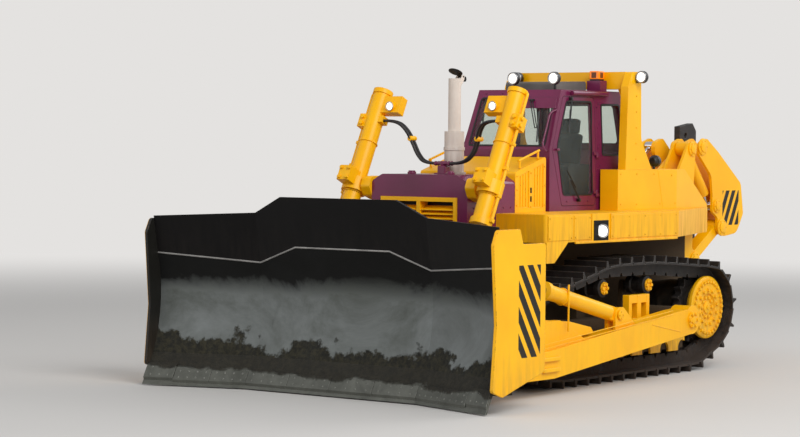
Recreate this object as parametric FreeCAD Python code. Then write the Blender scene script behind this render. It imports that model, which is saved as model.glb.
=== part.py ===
import FreeCAD, Part
import math
import os

# A crawler bulldozer with a wide blade in front and a single-shank ripper behind.
# Millimetres. X points forward, Y to the machine's left, Z up. The origin is on the
# ground, in the middle of the machine's length and width.

# Clearances
SEAT = 0.3            # between pieces that are fastened to each other
RUN = 0.5             # around a pin or rod in its bore
SIDE = 8.0            # beside a piece that swings between two ears

# Undercarriage
GAUGE_HALF = 1250     # middle of a track from the middle plane
SHOE_WIDTH = 650
PITCH = 280           # pin to pin along the chain
TEETH = 21            # half-pitch teeth, so a pin sits in every second gap
LINK_COUNT = 39
LINK_REACH = 75       # from the pin line out to the shoe, and in to the rail
SHOE_THICK = 28
GROUSER = 80
LINK_WIDTH = 62
LINK_GAP = 150        # between a chain's two rows of links
SPROCKET_X = -2100
SPROCKET_Z = 830
IDLER_Z = 640
IDLER_PIN_R = 425     # the pin line's radius around the idler
SAG_ROOM = 16         # a straight link cuts this much inside a bend over a carrier roller
CARRIER_X = (400, -680)
CARRIER_Z = 1190
CARRIER_R = 120
ROLLER_R = 125
ROLLER_FIRST = 1300
ROLLER_STEP = 457
ROLLER_COUNT = 7
BEND_PAST = 246       # from an end roller out to where the chain starts to rise
TREAD_GAP = 8         # between the idler's tread and the rails
FRAME_WIDTH = 250     # roller frame's box beam
FRAME_LOW = 540
FRAME_HIGH = 800
FLANGE_INSIDE = 165   # from the track's middle to a roller flange's inner face
FLANGE_THICK = 35

# Hull
HULL_HALF = 600
HULL_BELLY = 660
HULL_TOP = 1400
HULL_REAR = -2980
HULL_FRONT = 2500
EQUALIZER_X = (900, 1150)
EQUALIZER_Z = (680, 800)
PIVOT = (-1380, 690)  # the roller frames swing about this shaft
PIVOT_R = 95

# Fenders and tank
DECK_Z = 2160
FENDER_LOW = 1810
FENDER_HALF = 1500
TANK_TOP = 2700
TANK_HALF = 1000
TANK_FRONT = -1080

# Cowl between the hood and the cab, and the hood
COWL_REAR = (780, 2870)
COWL_FRONT = (1470, 2670)
COWL_HALF = 745
HOOD_HALF = 740
HOOD_FRONT = 2500
HOOD_REAR = COWL_FRONT[0] + SEAT
HOOD_TOP = 2640
HOOD_SHOULDER = 90
HOOD_WALL = 30
GRILLE_HALF = 590
GRILLE_LOW = 1480
GRILLE_HIGH = 2360
GRILLE_DEEP = 120
STACK_X = 1760
STACK_HIGH = 1210
FLAP_HINGE = (STACK_X - 125, HOOD_TOP + STACK_HIGH + 25)
FLAP_OPEN = 27        # how far the cap stands open at rest, in degrees
FLAP_PIN_R = 12

# Cab: it leans in above its knee, and its lower rear wall slants forward
CAB_WALL = 55
CAB_HALF = 690
CAB_ROOF_HALF = 650
CAB_FLOOR = DECK_Z + SEAT
CAB_KNEE = 2960
CAB_TOP = 3740
CAB_REAR_EDGE = ((-900, CAB_FLOOR), (-1040, 2700), (-1300, CAB_KNEE), (-1150, CAB_TOP))
CAB_FRONT_EDGE = ((300, CAB_TOP), (620, CAB_KNEE), (610, CAB_FLOOR))
DOOR_REAR = -480
DOOR_FRONT = (320, 550, 265)          # at the door's foot, knee and head
DOOR_LOW = DECK_Z + CAB_WALL + 15
DOOR_HIGH = 3650
DOOR_GAP = 6
DOOR_WINDOW_REAR = -405
DOOR_WINDOW_FRONT = (290, 435, 185)
DOOR_WINDOW_LOW = 2370
DOOR_WINDOW_HIGH = 3590
DOOR_HINGE = (DOOR_REAR - 3, CAB_HALF + 17)
DOOR_HINGES_Z = (2340, 2850)
GLASS_THICK = 8
SEAT_BASE_TOP = 2520
BEACON_STAND_X = (-860, -700)
BEACON_STAND_Y = (400, 610)
BEACON_STAND_HIGH = 3880

# Rollover arch
ARCH_HALF = TANK_HALF - 5
ARCH_WIDTH = 115
ARCH_TOP = 4000
ARCH_DEEP = 230
ARCH_REAR = -1110

# Blade
BLADE_HALF = 2600
FOLD_Y = BLADE_HALF / 2
WING_FORWARD = 430
RIB_SHARES = (0, 0.24, 0.49, 0.73, 0.95)
BLADE_FOOT_X = 4250   # cutting edge's tip in the middle
BLADE_FOOT_Z = 15
PLATE = 45
SIDE_PLATE = 40

# Push arms
TRUNNION_X = -850
TRUNNION_Z = 750
TRUNNION_R = 95
ARM_OUT = 1980
ARM_WIDE = 260
ARM_IN = ARM_OUT - ARM_WIDE
ARM_END = 3690

# Braces from the push arms up to the blade
BRACE_LOW = (860, 900)
BRACE_HIGH = (3700, 1560)
BRACE_Y = ARM_OUT - ARM_WIDE / 2
BRACE_PIN_R = 45
BRACE_EAR = 45        # from the middle of a brace to the inner face of an ear

# Lift cylinders
LIFT_Y = 1050
LIFT_PIVOT = (2450, 2480)
LIFT_EYE = (3230, 850)
LIFT_BARREL_R = 115
LIFT_COLLAR_R = 160
LIFT_ROD_R = 55
LIFT_ABOVE = 1340
LIFT_BELOW = 500
LIFT_PIN_R = 60
LIFT_PIN_REACH = 280
LAMP_BOX_REACH = 380
HOSE_PORT_REACH = 170

# Ripper
RIPPER_PIVOT = (-3250, 1400)      # arm on the tractor
RIPPER_KNEE = (-4000, 1850)       # arm on the beam
RIPPER_LIFT_TOP = (-3150, 2980)
RIPPER_LIFT_FOOT = (-3860, 2160)
RIPPER_TILT_BASE = (-2680, 2560)
RIPPER_TILT_EYE = (-3430, 3010)
RIPPER_PLATES = ((330, 370), (560, 600))   # ears beside the arm and the lift cylinders
RIPPER_INNER = (130, 190)                  # ears inside the tilt cylinders
RIPPER_PIN_R = 55
SHANK_HALF = 50


def vec(x, y, z):
    return FreeCAD.Vector(x, y, z)


def box(x_low, x_high, y_low, y_high, z_low, z_high):
    return Part.makeBox(x_high - x_low, y_high - y_low, z_high - z_low, vec(x_low, y_low, z_low))


def rod(start, end, radius):
    path = end - start
    return Part.makeCylinder(radius, path.Length, start, path)


def pin_y(point, radius, y_low, y_high):
    """A pin along Y through the point (x, z)."""
    return rod(vec(point[0], y_low, point[1]), vec(point[0], y_high, point[1]), radius)


def corner(before, here, after, radius):
    """The start, middle and end of the arc that rounds a corner."""
    to_before = (before - here).normalize()
    to_after = (after - here).normalize()
    half = to_before.getAngle(to_after) / 2
    reach = radius / math.tan(half)
    middle = (to_before + to_after).normalize() * (radius / math.sin(half) - radius)
    return (here + to_before * reach, here + middle, here + to_after * reach)


def outline(points, place):
    """A closed wire through flat points (u, v) or (u, v, corner radius)."""
    corners = [place(point[0], point[1]) for point in points]
    stops = []
    for index, point in enumerate(points):
        if len(point) == 2:
            stops.append((corners[index],))
        else:
            after = corners[(index + 1) % len(points)]
            stops.append(corner(corners[index - 1], corners[index], after, point[2]))
    edges = []
    for index, stop in enumerate(stops):
        if len(stop) == 3:
            edges.append(Part.Arc(*stop).toShape())
        following = stops[(index + 1) % len(stops)][0]
        if stop[-1].distanceToPoint(following) > 0.001:
            edges.append(Part.makeLine(stop[-1], following))
    return Part.Wire(edges)


def slab_y(points, y_low, y_high):
    """An outline of (x, z) points with its thickness along Y."""
    wire = outline(points, lambda x, z: vec(x, y_low, z))
    return Part.Face(wire).extrude(vec(0, y_high - y_low, 0))


def slab_x(points, x_low, x_high):
    """An outline of (y, z) points with its thickness along X."""
    wire = outline(points, lambda y, z: vec(x_low, y, z))
    return Part.Face(wire).extrude(vec(x_high - x_low, 0, 0))


def slab_z(points, z_low, z_high):
    """An outline of (x, y) points with its thickness along Z."""
    wire = outline(points, lambda x, y: vec(x, y, z_low))
    return Part.Face(wire).extrude(vec(0, 0, z_high - z_low))


def turned_y(profile, x, z):
    """A body of revolution about a line along Y; the profile is (radius, y) points."""
    wire = outline(profile, lambda radius, y: vec(x + radius, y, z))
    return Part.Face(wire).revolve(vec(x, 0, z), vec(0, 1, 0), 360)


def joined(shapes):
    return shapes[0].multiFuse(shapes[1:]).removeSplitter()


def mirrored(shape):
    return shape.mirror(vec(0, 0, 0), vec(0, 1, 0))


def pair(shape):
    """The left piece and its mirror image on the right."""
    return [shape, mirrored(shape)]


def save(node, shapes):
    Part.makeCompound(shapes).exportStep("parts/" + node + ".step")


def point_along(start, end, distance):
    """The flat point (x, z) at a distance from start towards end."""
    length = math.dist(start, end)
    return (start[0] + (end[0] - start[0]) * distance / length, start[1] + (end[1] - start[1]) * distance / length)


def at_y(point, y):
    return vec(point[0], y, point[1])


# Track path: the pin line runs around circles like a belt, anticlockwise seen from the right

SPROCKET_R = PITCH * TEETH / 2 / (2 * math.pi)
PIN_Z = GROUSER + SHOE_THICK + LINK_REACH
ROLLER_Z = PIN_Z + LINK_REACH + ROLLER_R
ROLLER_LAST = ROLLER_FIRST - ROLLER_STEP * (ROLLER_COUNT - 1)
FRAME_REAR = ROLLER_LAST - 60
FRAME_FRONT = ROLLER_FIRST + 150
FLANGE_OUTSIDE = FLANGE_INSIDE + FLANGE_THICK


def belt_circles(idler_x):
    roller_reach = ROLLER_R + LINK_REACH
    carrier_reach = CARRIER_R + LINK_REACH + SAG_ROOM
    return [
        (SPROCKET_X, SPROCKET_Z, SPROCKET_R),
        (ROLLER_LAST - BEND_PAST, ROLLER_Z, roller_reach),
        (ROLLER_FIRST + BEND_PAST, ROLLER_Z, roller_reach),
        (idler_x, IDLER_Z, IDLER_PIN_R),
        (CARRIER_X[0], CARRIER_Z, carrier_reach),
        (CARRIER_X[1], CARRIER_Z, carrier_reach),
    ]


def belt_runs(circles):
    """Each run's direction, start point and length, and the arc that follows it."""
    runs = []
    for index, (x1, z1, r1) in enumerate(circles):
        x2, z2, r2 = circles[(index + 1) % len(circles)]
        apart = math.hypot(x2 - x1, z2 - z1)
        heading = math.atan2(z2 - z1, x2 - x1) + math.asin((r1 - r2) / apart)
        start = (x1 + r1 * math.sin(heading), z1 - r1 * math.cos(heading))
        runs.append((heading, start, math.sqrt(apart ** 2 - (r1 - r2) ** 2)))
    return runs


def belt_length(circles):
    runs = belt_runs(circles)
    total = 0
    for index, (heading, start, length) in enumerate(runs):
        following = runs[(index + 1) % len(runs)][0]
        turn = (following - heading) % (2 * math.pi)
        total += length + turn * circles[(index + 1) % len(circles)][2]
    return total


def tensioned_idler_x():
    """The idler's place that makes the loop a whole number of links long."""
    wanted = LINK_COUNT * PITCH
    idler_x = 1900.0
    for step in range(20):
        idler_x += (wanted - belt_length(belt_circles(idler_x))) / 2
    return idler_x


def belt_point(circles, distance):
    """The point at a distance along the pin line, from where it leaves the sprocket."""
    runs = belt_runs(circles)
    for index, (heading, start, length) in enumerate(runs):
        if distance <= length:
            return (start[0] + math.cos(heading) * distance, start[1] + math.sin(heading) * distance)
        distance -= length
        x, z, radius = circles[(index + 1) % len(circles)]
        turn = (runs[(index + 1) % len(runs)][0] - heading) % (2 * math.pi)
        if distance <= turn * radius:
            angle = heading + distance / radius
            return (x + radius * math.sin(angle), z - radius * math.cos(angle))
        distance -= turn * radius
    return belt_point(circles, distance)


IDLER_X = tensioned_idler_x()
CIRCLES = belt_circles(IDLER_X)
PINS = [belt_point(CIRCLES, PITCH * index) for index in range(LINK_COUNT)]


def chain_points(profile):
    """A small profile of (share of pitch, height over the pin line) repeated on every link."""
    points = []
    for index, first in enumerate(PINS):
        second = PINS[(index + 1) % LINK_COUNT]
        length = math.dist(first, second)
        along = ((second[0] - first[0]) / length, (second[1] - first[1]) / length)
        middle = ((first[0] + second[0]) / 2, (first[1] + second[1]) / 2)
        for share, height in profile:
            shift = share * length
            x = middle[0] + along[0] * shift + along[1] * height
            z = middle[1] + along[1] * shift - along[0] * height
            points.append((x, z))
    return points


def track():
    shoe_top = LINK_REACH + SHOE_THICK
    tip = shoe_top + GROUSER
    shoe = [(-0.47, LINK_REACH + 8), (-0.47, shoe_top), (0.25, shoe_top), (0.31, tip), (0.40, tip), (0.44, shoe_top),
            (0.47, LINK_REACH + 8)]
    shoe_under = [(-0.40, LINK_REACH), (0.40, LINK_REACH)]
    rail = [(-0.46, 45 - LINK_REACH), (-0.38, -LINK_REACH), (0.38, -LINK_REACH), (0.46, 45 - LINK_REACH)]
    half = SHOE_WIDTH / 2
    shoes = slab_y(chain_points(shoe), GAUGE_HALF - half, GAUGE_HALF + half)
    shoes = shoes.cut(slab_y(chain_points(shoe_under), GAUGE_HALF - half - 1, GAUGE_HALF + half + 1))
    link_in = LINK_GAP / 2
    rows = []
    for low in (GAUGE_HALF - link_in - LINK_WIDTH, GAUGE_HALF + link_in):
        ring = slab_y(chain_points(shoe_under), low, low + LINK_WIDTH)
        rows.append(ring.cut(slab_y(chain_points(rail), low - 1, low + LINK_WIDTH + 1)))
    return shoes.multiFuse(rows)


def sprocket():
    """A toothed ring whose gaps match the chain's pins."""
    outer = SPROCKET_R + 32
    start = math.atan2(PINS[0][1] - SPROCKET_Z, PINS[0][0] - SPROCKET_X)
    step = 2 * math.pi / TEETH
    edges = []
    flat = []
    for index in range(TEETH):
        angle = start + index * step
        flat.append((angle - 0.34 * step, SPROCKET_R + 8))
        flat.append((angle, SPROCKET_R - 36))
        flat.append((angle + 0.34 * step, SPROCKET_R + 8))
        flat.append((angle + 0.42 * step, outer))
        flat.append((angle + 0.58 * step, outer))
    rim_low = GAUGE_HALF - 52
    place = [vec(SPROCKET_X + r * math.cos(a), rim_low, SPROCKET_Z + r * math.sin(a)) for a, r in flat]
    for index in range(TEETH):
        first = index * 5
        edges.append(Part.Arc(place[first], place[first + 1], place[first + 2]).toShape())
        edges.append(Part.makeLine(place[first + 2], place[first + 3]))
        edges.append(Part.makeLine(place[first + 3], place[first + 4]))
        edges.append(Part.makeLine(place[first + 4], place[(first + 5) % len(place)]))
    ring = Part.Face(Part.Wire(edges)).extrude(vec(0, 104, 0))
    return ring.cut(pin_y((SPROCKET_X, SPROCKET_Z), 330, rim_low - 1, rim_low + 105))


def final_drive():
    rim_low = GAUGE_HALF - 52
    rim_high = GAUGE_HALF + 52
    cover = GAUGE_HALF + LINK_GAP / 2 + LINK_WIDTH + 20
    profile = [
        (0, HULL_HALF + SEAT), (300, HULL_HALF + SEAT), (330, HULL_HALF + 60), (360, 900), (360, rim_low - 60, 20),
        (329.7, rim_low - 40), (329.7, rim_high), (360, rim_high + SEAT), (360, cover), (425, cover + 20, 10),
        (425, cover + 70, 12), (395, cover + 85), (190, cover + 85), (180, cover + 60), (0, cover + 60),
    ]
    return turned_y(profile, SPROCKET_X, SPROCKET_Z)


def idler():
    axle = FLANGE_INSIDE - SEAT
    tread = IDLER_PIN_R * math.cos(PITCH / 2 / IDLER_PIN_R) - LINK_REACH - TREAD_GAP
    half = LINK_GAP / 2 + LINK_WIDTH
    profile = [
        (0, GAUGE_HALF - axle), (70, GAUGE_HALF - axle), (70, GAUGE_HALF - half - 5), (150, GAUGE_HALF - half),
        (150, GAUGE_HALF - 60), (300, GAUGE_HALF - 40), (300, GAUGE_HALF - half + 15), (tread, GAUGE_HALF - half + 15),
        (tread, GAUGE_HALF - LINK_GAP / 2 + 10), (tread + 25, GAUGE_HALF - LINK_GAP / 2 + 18),
        (tread + 25, GAUGE_HALF + LINK_GAP / 2 - 18), (tread, GAUGE_HALF + LINK_GAP / 2 - 10),
        (tread, GAUGE_HALF + half - 15), (300, GAUGE_HALF + half - 15), (300, GAUGE_HALF + 40),
        (150, GAUGE_HALF + 60), (150, GAUGE_HALF + half), (70, GAUGE_HALF + half + 5), (70, GAUGE_HALF + axle),
        (0, GAUGE_HALF + axle),
    ]
    return turned_y(profile, IDLER_X, IDLER_Z)


def roller(x):
    axle = FLANGE_INSIDE - SEAT
    tread = ROLLER_R - SEAT
    half = LINK_GAP / 2 + LINK_WIDTH
    profile = [
        (0, GAUGE_HALF - axle), (48, GAUGE_HALF - axle), (48, GAUGE_HALF - half), (tread, GAUGE_HALF - half),
        (tread, GAUGE_HALF - LINK_GAP / 2 + 8), (tread + 22, GAUGE_HALF - LINK_GAP / 2 + 14),
        (tread + 22, GAUGE_HALF + LINK_GAP / 2 - 14), (tread, GAUGE_HALF + LINK_GAP / 2 - 8),
        (tread, GAUGE_HALF + half), (48, GAUGE_HALF + half), (48, GAUGE_HALF + axle), (0, GAUGE_HALF + axle),
    ]
    return turned_y(profile, x, ROLLER_Z)


def roller_places():
    return [ROLLER_FIRST - ROLLER_STEP * index for index in range(ROLLER_COUNT)]


def carrier(x):
    """A carrier roller on the axle that comes from its inner bracket."""
    tread = CARRIER_R - 1
    half = LINK_GAP / 2 + LINK_WIDTH
    profile = [
        (0, GAUGE_HALF - half - 60), (45, GAUGE_HALF - half - 60), (45, GAUGE_HALF - half), (tread, GAUGE_HALF - half),
        (tread, GAUGE_HALF - LINK_GAP / 2 + 8), (tread - 20, GAUGE_HALF - LINK_GAP / 2 + 20),
        (tread - 20, GAUGE_HALF + LINK_GAP / 2 - 20), (tread, GAUGE_HALF + LINK_GAP / 2 - 8),
        (tread, GAUGE_HALF + half, 8), (70, GAUGE_HALF + half + 12), (0, GAUGE_HALF + half + 12),
    ]
    return turned_y(profile, x, CARRIER_Z)


def roller_frame():
    low = GAUGE_HALF - FRAME_WIDTH / 2
    high = GAUGE_HALF + FRAME_WIDTH / 2
    rear = FRAME_REAR
    front = FRAME_FRONT
    beam = slab_y([(rear, FRAME_LOW), (rear, FRAME_HIGH, 60), (front, FRAME_HIGH, 60), (front, FRAME_LOW)], low, high)
    pieces = [beam]
    for side in (-1, 1):
        edge_a = GAUGE_HALF + side * FLANGE_INSIDE
        edge_b = GAUGE_HALF + side * FLANGE_OUTSIDE
        y_low = min(edge_a, edge_b)
        y_high = max(edge_a, edge_b)
        flange = box(rear, front, y_low, y_high, ROLLER_Z - 60, FRAME_LOW + 90)
        web = box(rear, front, min(edge_b, GAUGE_HALF), max(edge_b, GAUGE_HALF), FRAME_LOW, FRAME_LOW + 90)
        fork = slab_y(
            [(front - 300, FRAME_LOW + 60), (front - 300, FRAME_HIGH - 20), (IDLER_X - 60, IDLER_Z + 90, 40),
             (IDLER_X + 90, IDLER_Z + 90, 80), (IDLER_X + 90, IDLER_Z - 80, 80), (front, IDLER_Z - 80)], y_low, y_high)
        web_fork = box(front - 300, front - 20, min(edge_b, GAUGE_HALF), max(edge_b, GAUGE_HALF), FRAME_LOW + 60, FRAME_HIGH - 20)
        pieces += [flange, web, fork, web_fork]
    for x in CARRIER_X:
        post_in = GAUGE_HALF - LINK_GAP / 2 - LINK_WIDTH - 130
        post = slab_y([(x - 110, FRAME_HIGH - 30), (x - 55, CARRIER_Z + 55, 50), (x + 55, CARRIER_Z + 55, 50),
                       (x + 110, FRAME_HIGH - 30)], post_in, post_in + 70 - SEAT)
        foot = box(x - 110, x + 110, post_in, GAUGE_HALF, FRAME_HIGH - 60, FRAME_HIGH)
        pieces += [post, foot]
    inside = GAUGE_HALF - FLANGE_OUTSIDE
    pieces.append(box(*EQUALIZER_X, inside, GAUGE_HALF, *EQUALIZER_Z))
    pieces.append(pin_y(PIVOT, PIVOT_R + 25, inside, GAUGE_HALF))
    stub = pin_y((TRUNNION_X, TRUNNION_Z), TRUNNION_R, GAUGE_HALF, ARM_OUT - 40)
    collar = pin_y((TRUNNION_X, TRUNNION_Z), TRUNNION_R + 70, GAUGE_HALF, ARM_IN - SIDE)
    pieces += [stub, collar]
    return joined(pieces)


def roller_guard():
    """A plate beside the rollers, cut away in scallops between its lugs."""
    y_low = GAUGE_HALF + FLANGE_OUTSIDE + SEAT
    plate = box(FRAME_REAR, FRAME_FRONT, y_low, y_low + 30, ROLLER_Z - 90, FRAME_LOW + 40)
    cuts = []
    for x in roller_places():
        cuts.append(pin_y((x, ROLLER_Z - 60), 105, y_low - 1, y_low + 31))
    return plate.cut(Part.makeCompound(cuts))


# Hull and the parts that carry the undercarriage

def main_frame():
    hull = slab_y([(HULL_FRONT - 150, HULL_BELLY, 80), (HULL_FRONT, HULL_BELLY + 180, 60), (HULL_FRONT, HULL_TOP),
                   (HULL_REAR, HULL_TOP), (HULL_REAR, HULL_BELLY + 260, 60), (HULL_REAR + 260, HULL_BELLY, 80)], -HULL_HALF, HULL_HALF)
    pedestal = box(HULL_REAR, COWL_FRONT[0] - 20, -HULL_HALF, HULL_HALF, HULL_TOP - 10, DECK_Z)
    reach = GAUGE_HALF - FLANGE_OUTSIDE - SEAT
    equalizer = box(*EQUALIZER_X, -reach, reach, *EQUALIZER_Z)
    pivot = pin_y(PIVOT, PIVOT_R, -reach, reach)
    return joined([hull, pedestal, equalizer, pivot])


# Hood

def hood_outline(inset):
    half = HOOD_HALF - inset
    top = HOOD_TOP - inset
    return [(-half, HULL_TOP + SEAT), (-half, top - HOOD_SHOULDER, 60), (-half + 160, top, 120), (half - 160, top, 120),
            (half, top - HOOD_SHOULDER, 60), (half, HULL_TOP + SEAT)]


def hood():
    shell = slab_x(hood_outline(0), HOOD_REAR, HOOD_FRONT)
    inside = slab_x(hood_outline(HOOD_WALL), HOOD_REAR - 1, HOOD_FRONT - HOOD_WALL)
    shell = shell.cut(inside)
    return shell.cut(box(HOOD_FRONT - 200, HOOD_FRONT + 1, -GRILLE_HALF, GRILLE_HALF, GRILLE_LOW, GRILLE_HIGH))


def grille():
    """A frame with a post in the middle, two open slots on top and close louvres below."""
    x_low = HOOD_FRONT - HOOD_WALL - GRILLE_DEEP
    half = GRILLE_HALF - SEAT
    low = GRILLE_LOW + SEAT
    high = GRILLE_HIGH - SEAT
    frame = box(x_low, HOOD_FRONT + 15, -half, half, low, high)
    border = 55
    for y_low, y_high in ((-half + border, -border / 2), (border / 2, half - border)):
        frame = frame.cut(box(x_low - 1, HOOD_FRONT + 16, y_low, y_high, low + border, high - border))
    count = 14
    rise = (high - low - 2 * border) / count
    blades = [frame]
    for index in range(count - 1):
        z = low + border + rise * (index + 0.5)
        blade = [(x_low + 20, z + 22), (x_low + 20, z + 34), (HOOD_FRONT, z - 14), (HOOD_FRONT, z - 26)]
        blades.append(slab_y(blade, -half + 20, half - 20))
    return joined(blades)


def engine_block():
    half = HOOD_HALF - HOOD_WALL - 60
    x_high = HOOD_FRONT - HOOD_WALL - GRILLE_DEEP - 25
    block = slab_x([(-half, HULL_TOP + SEAT), (-half, HOOD_TOP - 260, 80), (-half + 200, HOOD_TOP - 110, 60),
                    (half - 200, HOOD_TOP - 110, 60), (half, HOOD_TOP - 260, 80), (half, HULL_TOP + SEAT)], HOOD_REAR + 60, x_high)
    return block


def exhaust_stack():
    """A muffler and its pipe, with two ears behind the mouth for the rain cap."""
    base = vec(STACK_X, 0, HOOD_TOP + SEAT)
    flange = Part.makeCylinder(150, 25, base)
    muffler = Part.makeCylinder(125, 540, base)
    pipe = Part.makeCylinder(80, STACK_HIGH, base)
    bore = Part.makeCylinder(72, 400, vec(STACK_X, 0, HOOD_TOP + STACK_HIGH - 380))
    band = Part.makeCylinder(135, 40, vec(STACK_X, 0, HOOD_TOP + 300))
    x, z = FLAP_HINGE
    ear = [(x - 20, z + 20, 15), (x + 18, z + 20, 15), (x + 65, z - 30), (x + 65, z - 150), (x - 20, z - 30)]
    ears = [slab_y(ear, 35, 46), slab_y(ear, -46, -35)]
    hole = pin_y(FLAP_HINGE, FLAP_PIN_R + RUN, -60, 60)
    return joined([flange, muffler, pipe, band] + ears).cut(bore).cut(hole)


def exhaust_flap():
    """The rain cap stands open on its hinge pin, with a round weight behind the hinge."""
    x = FLAP_HINGE[0]
    z = FLAP_HINGE[1] - 4
    disc = Part.makeCylinder(92, 8, vec(STACK_X, 0, z))
    tail = box(x - 40, STACK_X, -28, 28, z, z + 8)
    pin = pin_y(FLAP_HINGE, FLAP_PIN_R, -45, 45)
    weight = pin_y((x - 62, z + 4), 34, -28, 28)
    cap = joined([disc, tail, pin, weight])
    cap.rotate(vec(x, 0, FLAP_HINGE[1]), vec(0, 1, 0), -FLAP_OPEN)
    return cap


# Cab

def cab_volume(inset, floor, roof):
    """The cab's outer form, moved inward by inset; floor and roof are the end heights' insets."""
    side = [(x + inset, z) for x, z in CAB_REAR_EDGE]
    side += [(x - inset, z) for x, z in CAB_FRONT_EDGE]
    left = [(CAB_HALF - inset, CAB_FLOOR), (CAB_HALF - inset, CAB_KNEE), (CAB_ROOF_HALF - inset, CAB_TOP)]
    right = [(-y, z) for y, z in reversed(left)]
    volume = slab_y(side, -1000, 1000).common(slab_x(left + right, -2000, 2000))
    return volume.common(box(-2000, 2000, -1000, 1000, CAB_FLOOR + floor, CAB_TOP - roof))


def door_outline(shrink):
    low = DOOR_LOW + shrink
    high = DOOR_HIGH - shrink
    rear = DOOR_REAR + shrink
    foot, knee, head = [x - shrink for x in DOOR_FRONT]
    return [(rear, low, 40), (foot, low, 40), (knee, CAB_KNEE), (head, high, 60), (rear, high, 60)]


def door_window(shrink):
    low = DOOR_WINDOW_LOW + shrink
    high = DOOR_WINDOW_HIGH - shrink
    rear = DOOR_WINDOW_REAR + shrink
    foot, knee, head = [x - shrink for x in DOOR_WINDOW_FRONT]
    return [(rear, low, 40), (foot, low, 40), (knee, CAB_KNEE + 40), (head, high, 60), (rear, high, 60)]


def window_cutters():
    """Openings in the front, rear and side walls, out to the glass's edge."""
    front = [(-465, 3010, 50), (465, 3010, 50), (445, 3530, 50), (-445, 3530, 50)]
    quarter = [(505, 3040, 20), (580, 3020, 20), (595, 3500, 20), (530, 3530, 20)]
    rear = [(-560, 3040, 60), (560, 3040, 60), (530, 3560, 60), (-530, 3560, 60)]
    side = [(-1130, 2890, 40), (-645, 2890, 50), (-645, 3560, 60), (-1090, 3560, 60), (-1200, 2990, 40)]
    left_quarter = slab_x(quarter, 200, 900)
    return [slab_x(front, 200, 900), left_quarter, mirrored(left_quarter), slab_x(rear, -1500, -900),
            slab_y(side, 500, 800), slab_y(side, -800, -500)]


def door_hinge(z):
    """The cab's knuckle with its pin, and the door's knuckle that sits on it."""
    x, y = DOOR_HINGE
    wall = CAB_HALF
    cab_leaf = box(x - 70, x, wall - 10, y + 6, z, z + 40)
    cab_knuckle = Part.makeCylinder(16, 40, vec(x, y, z))
    pin = Part.makeCylinder(8, 80, vec(x, y, z))
    door_leaf = box(x, x + 70, wall + SEAT, y + 6, z + 40 + RUN, z + 80)
    door_foot = box(x + DOOR_GAP, x + 70, wall - 10, y, z + 40 + RUN, z + 80)
    door_knuckle = Part.makeCylinder(16, 40 - RUN, vec(x, y, z + 40 + RUN))
    hole = Part.makeCylinder(8 + RUN, 200, vec(x, y, z - 50))
    return joined([cab_leaf, cab_knuckle, pin]), joined([door_leaf, door_foot, door_knuckle]).cut(hole)


def cab_parts():
    shell = cab_volume(0, 0, 0).cut(cab_volume(CAB_WALL, CAB_WALL, CAB_WALL))
    middle = CAB_WALL / 2
    sheet = cab_volume(middle - GLASS_THICK / 2, 0, 0).cut(cab_volume(middle + GLASS_THICK / 2, -1, -1))
    near = slab_y(door_outline(0), 500, 1000)
    window_in_door = slab_y(door_window(0), 500, 1000)
    opening = slab_y(door_outline(-DOOR_GAP), 500, 1000)
    door = shell.common(near).cut(window_in_door)
    door_glass = sheet.common(slab_y(door_window(SEAT), 500, 1000))
    cutters = window_cutters()
    body = shell.cut(Part.makeCompound([opening, mirrored(opening)]))
    glass = []
    for cutter in cutters:
        body = body.cut(cutter)
        glass += sheet.common(cutter).Solids
    for z in DOOR_HINGES_Z:
        cab_side, door_side = door_hinge(z)
        body = joined([body, cab_side, mirrored(cab_side)])
        door = joined([door, door_side])
    beacon_stand = box(*BEACON_STAND_X, *BEACON_STAND_Y, CAB_TOP - 10, BEACON_STAND_HIGH)
    return joined([body, beacon_stand]), glass, door, door_glass


def seat():
    base = box(-620, -260, -180, 180, DECK_Z + CAB_WALL + 2 * SEAT, SEAT_BASE_TOP)
    return [base]


def seat_cushions():
    low = SEAT_BASE_TOP + SEAT
    cushion = slab_y([(-680, low, 30), (-140, low, 50), (-140, low + 130, 50), (-680, low + 120, 30)], -260, 260)
    foot = low + 120 + SEAT
    back = slab_y([(-680, foot), (-560, foot + 5), (-680, 3280, 50), (-800, 3280, 50)], -240, 240)
    return [cushion, back]


def controls():
    """Two side consoles and a dash under the windscreen."""
    floor = DECK_Z + CAB_WALL + 2 * SEAT
    left = slab_y([(-620, floor), (-140, floor), (-80, 2780, 60), (-620, 2760, 40)], 330, 520)
    dash = slab_y([(400, floor), (530, floor), (545, 2780, 40), (340, 2820, 40)], -300, 300)
    return [left, mirrored(left), dash]


# Roof unit, arch, tank and cowl

def roof_unit():
    z = CAB_TOP + SEAT
    case = slab_y([(-690, z), (-690, z + 130, 40), (60, z + 110, 40), (60, z)], -390, 390)
    grooves = []
    for index in range(7):
        x = -640 + index * 75
        grooves.append(box(x, x + 30, -340, 340, z + 70, z + 200))
    return case.cut(Part.makeCompound(grooves))


def arch():
    """Two posts on the tank's flanks, a beam over the cab's roof and gussets in the corners."""
    foot_z = TANK_TOP + SEAT
    inner = ARCH_HALF - ARCH_WIDTH
    rear = ARCH_REAR
    post = slab_y([(-740, foot_z), (-790, ARCH_TOP - 200), (-890, ARCH_TOP, 60), (rear, ARCH_TOP, 60), (rear - 20, 3100, 200),
                   (-1410, foot_z)], inner, ARCH_HALF)
    low = ARCH_TOP - ARCH_DEEP
    beam = box(rear + 20, -880, -inner - 10, inner + 10, low, ARCH_TOP)
    gusset = slab_x([(inner + 5, low + 5), (inner + 5, low - 300), (CAB_HALF + 60, low + 5)], rear + 60, -920)
    return joined([post, mirrored(post), beam, gusset, mirrored(gusset)])


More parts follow.
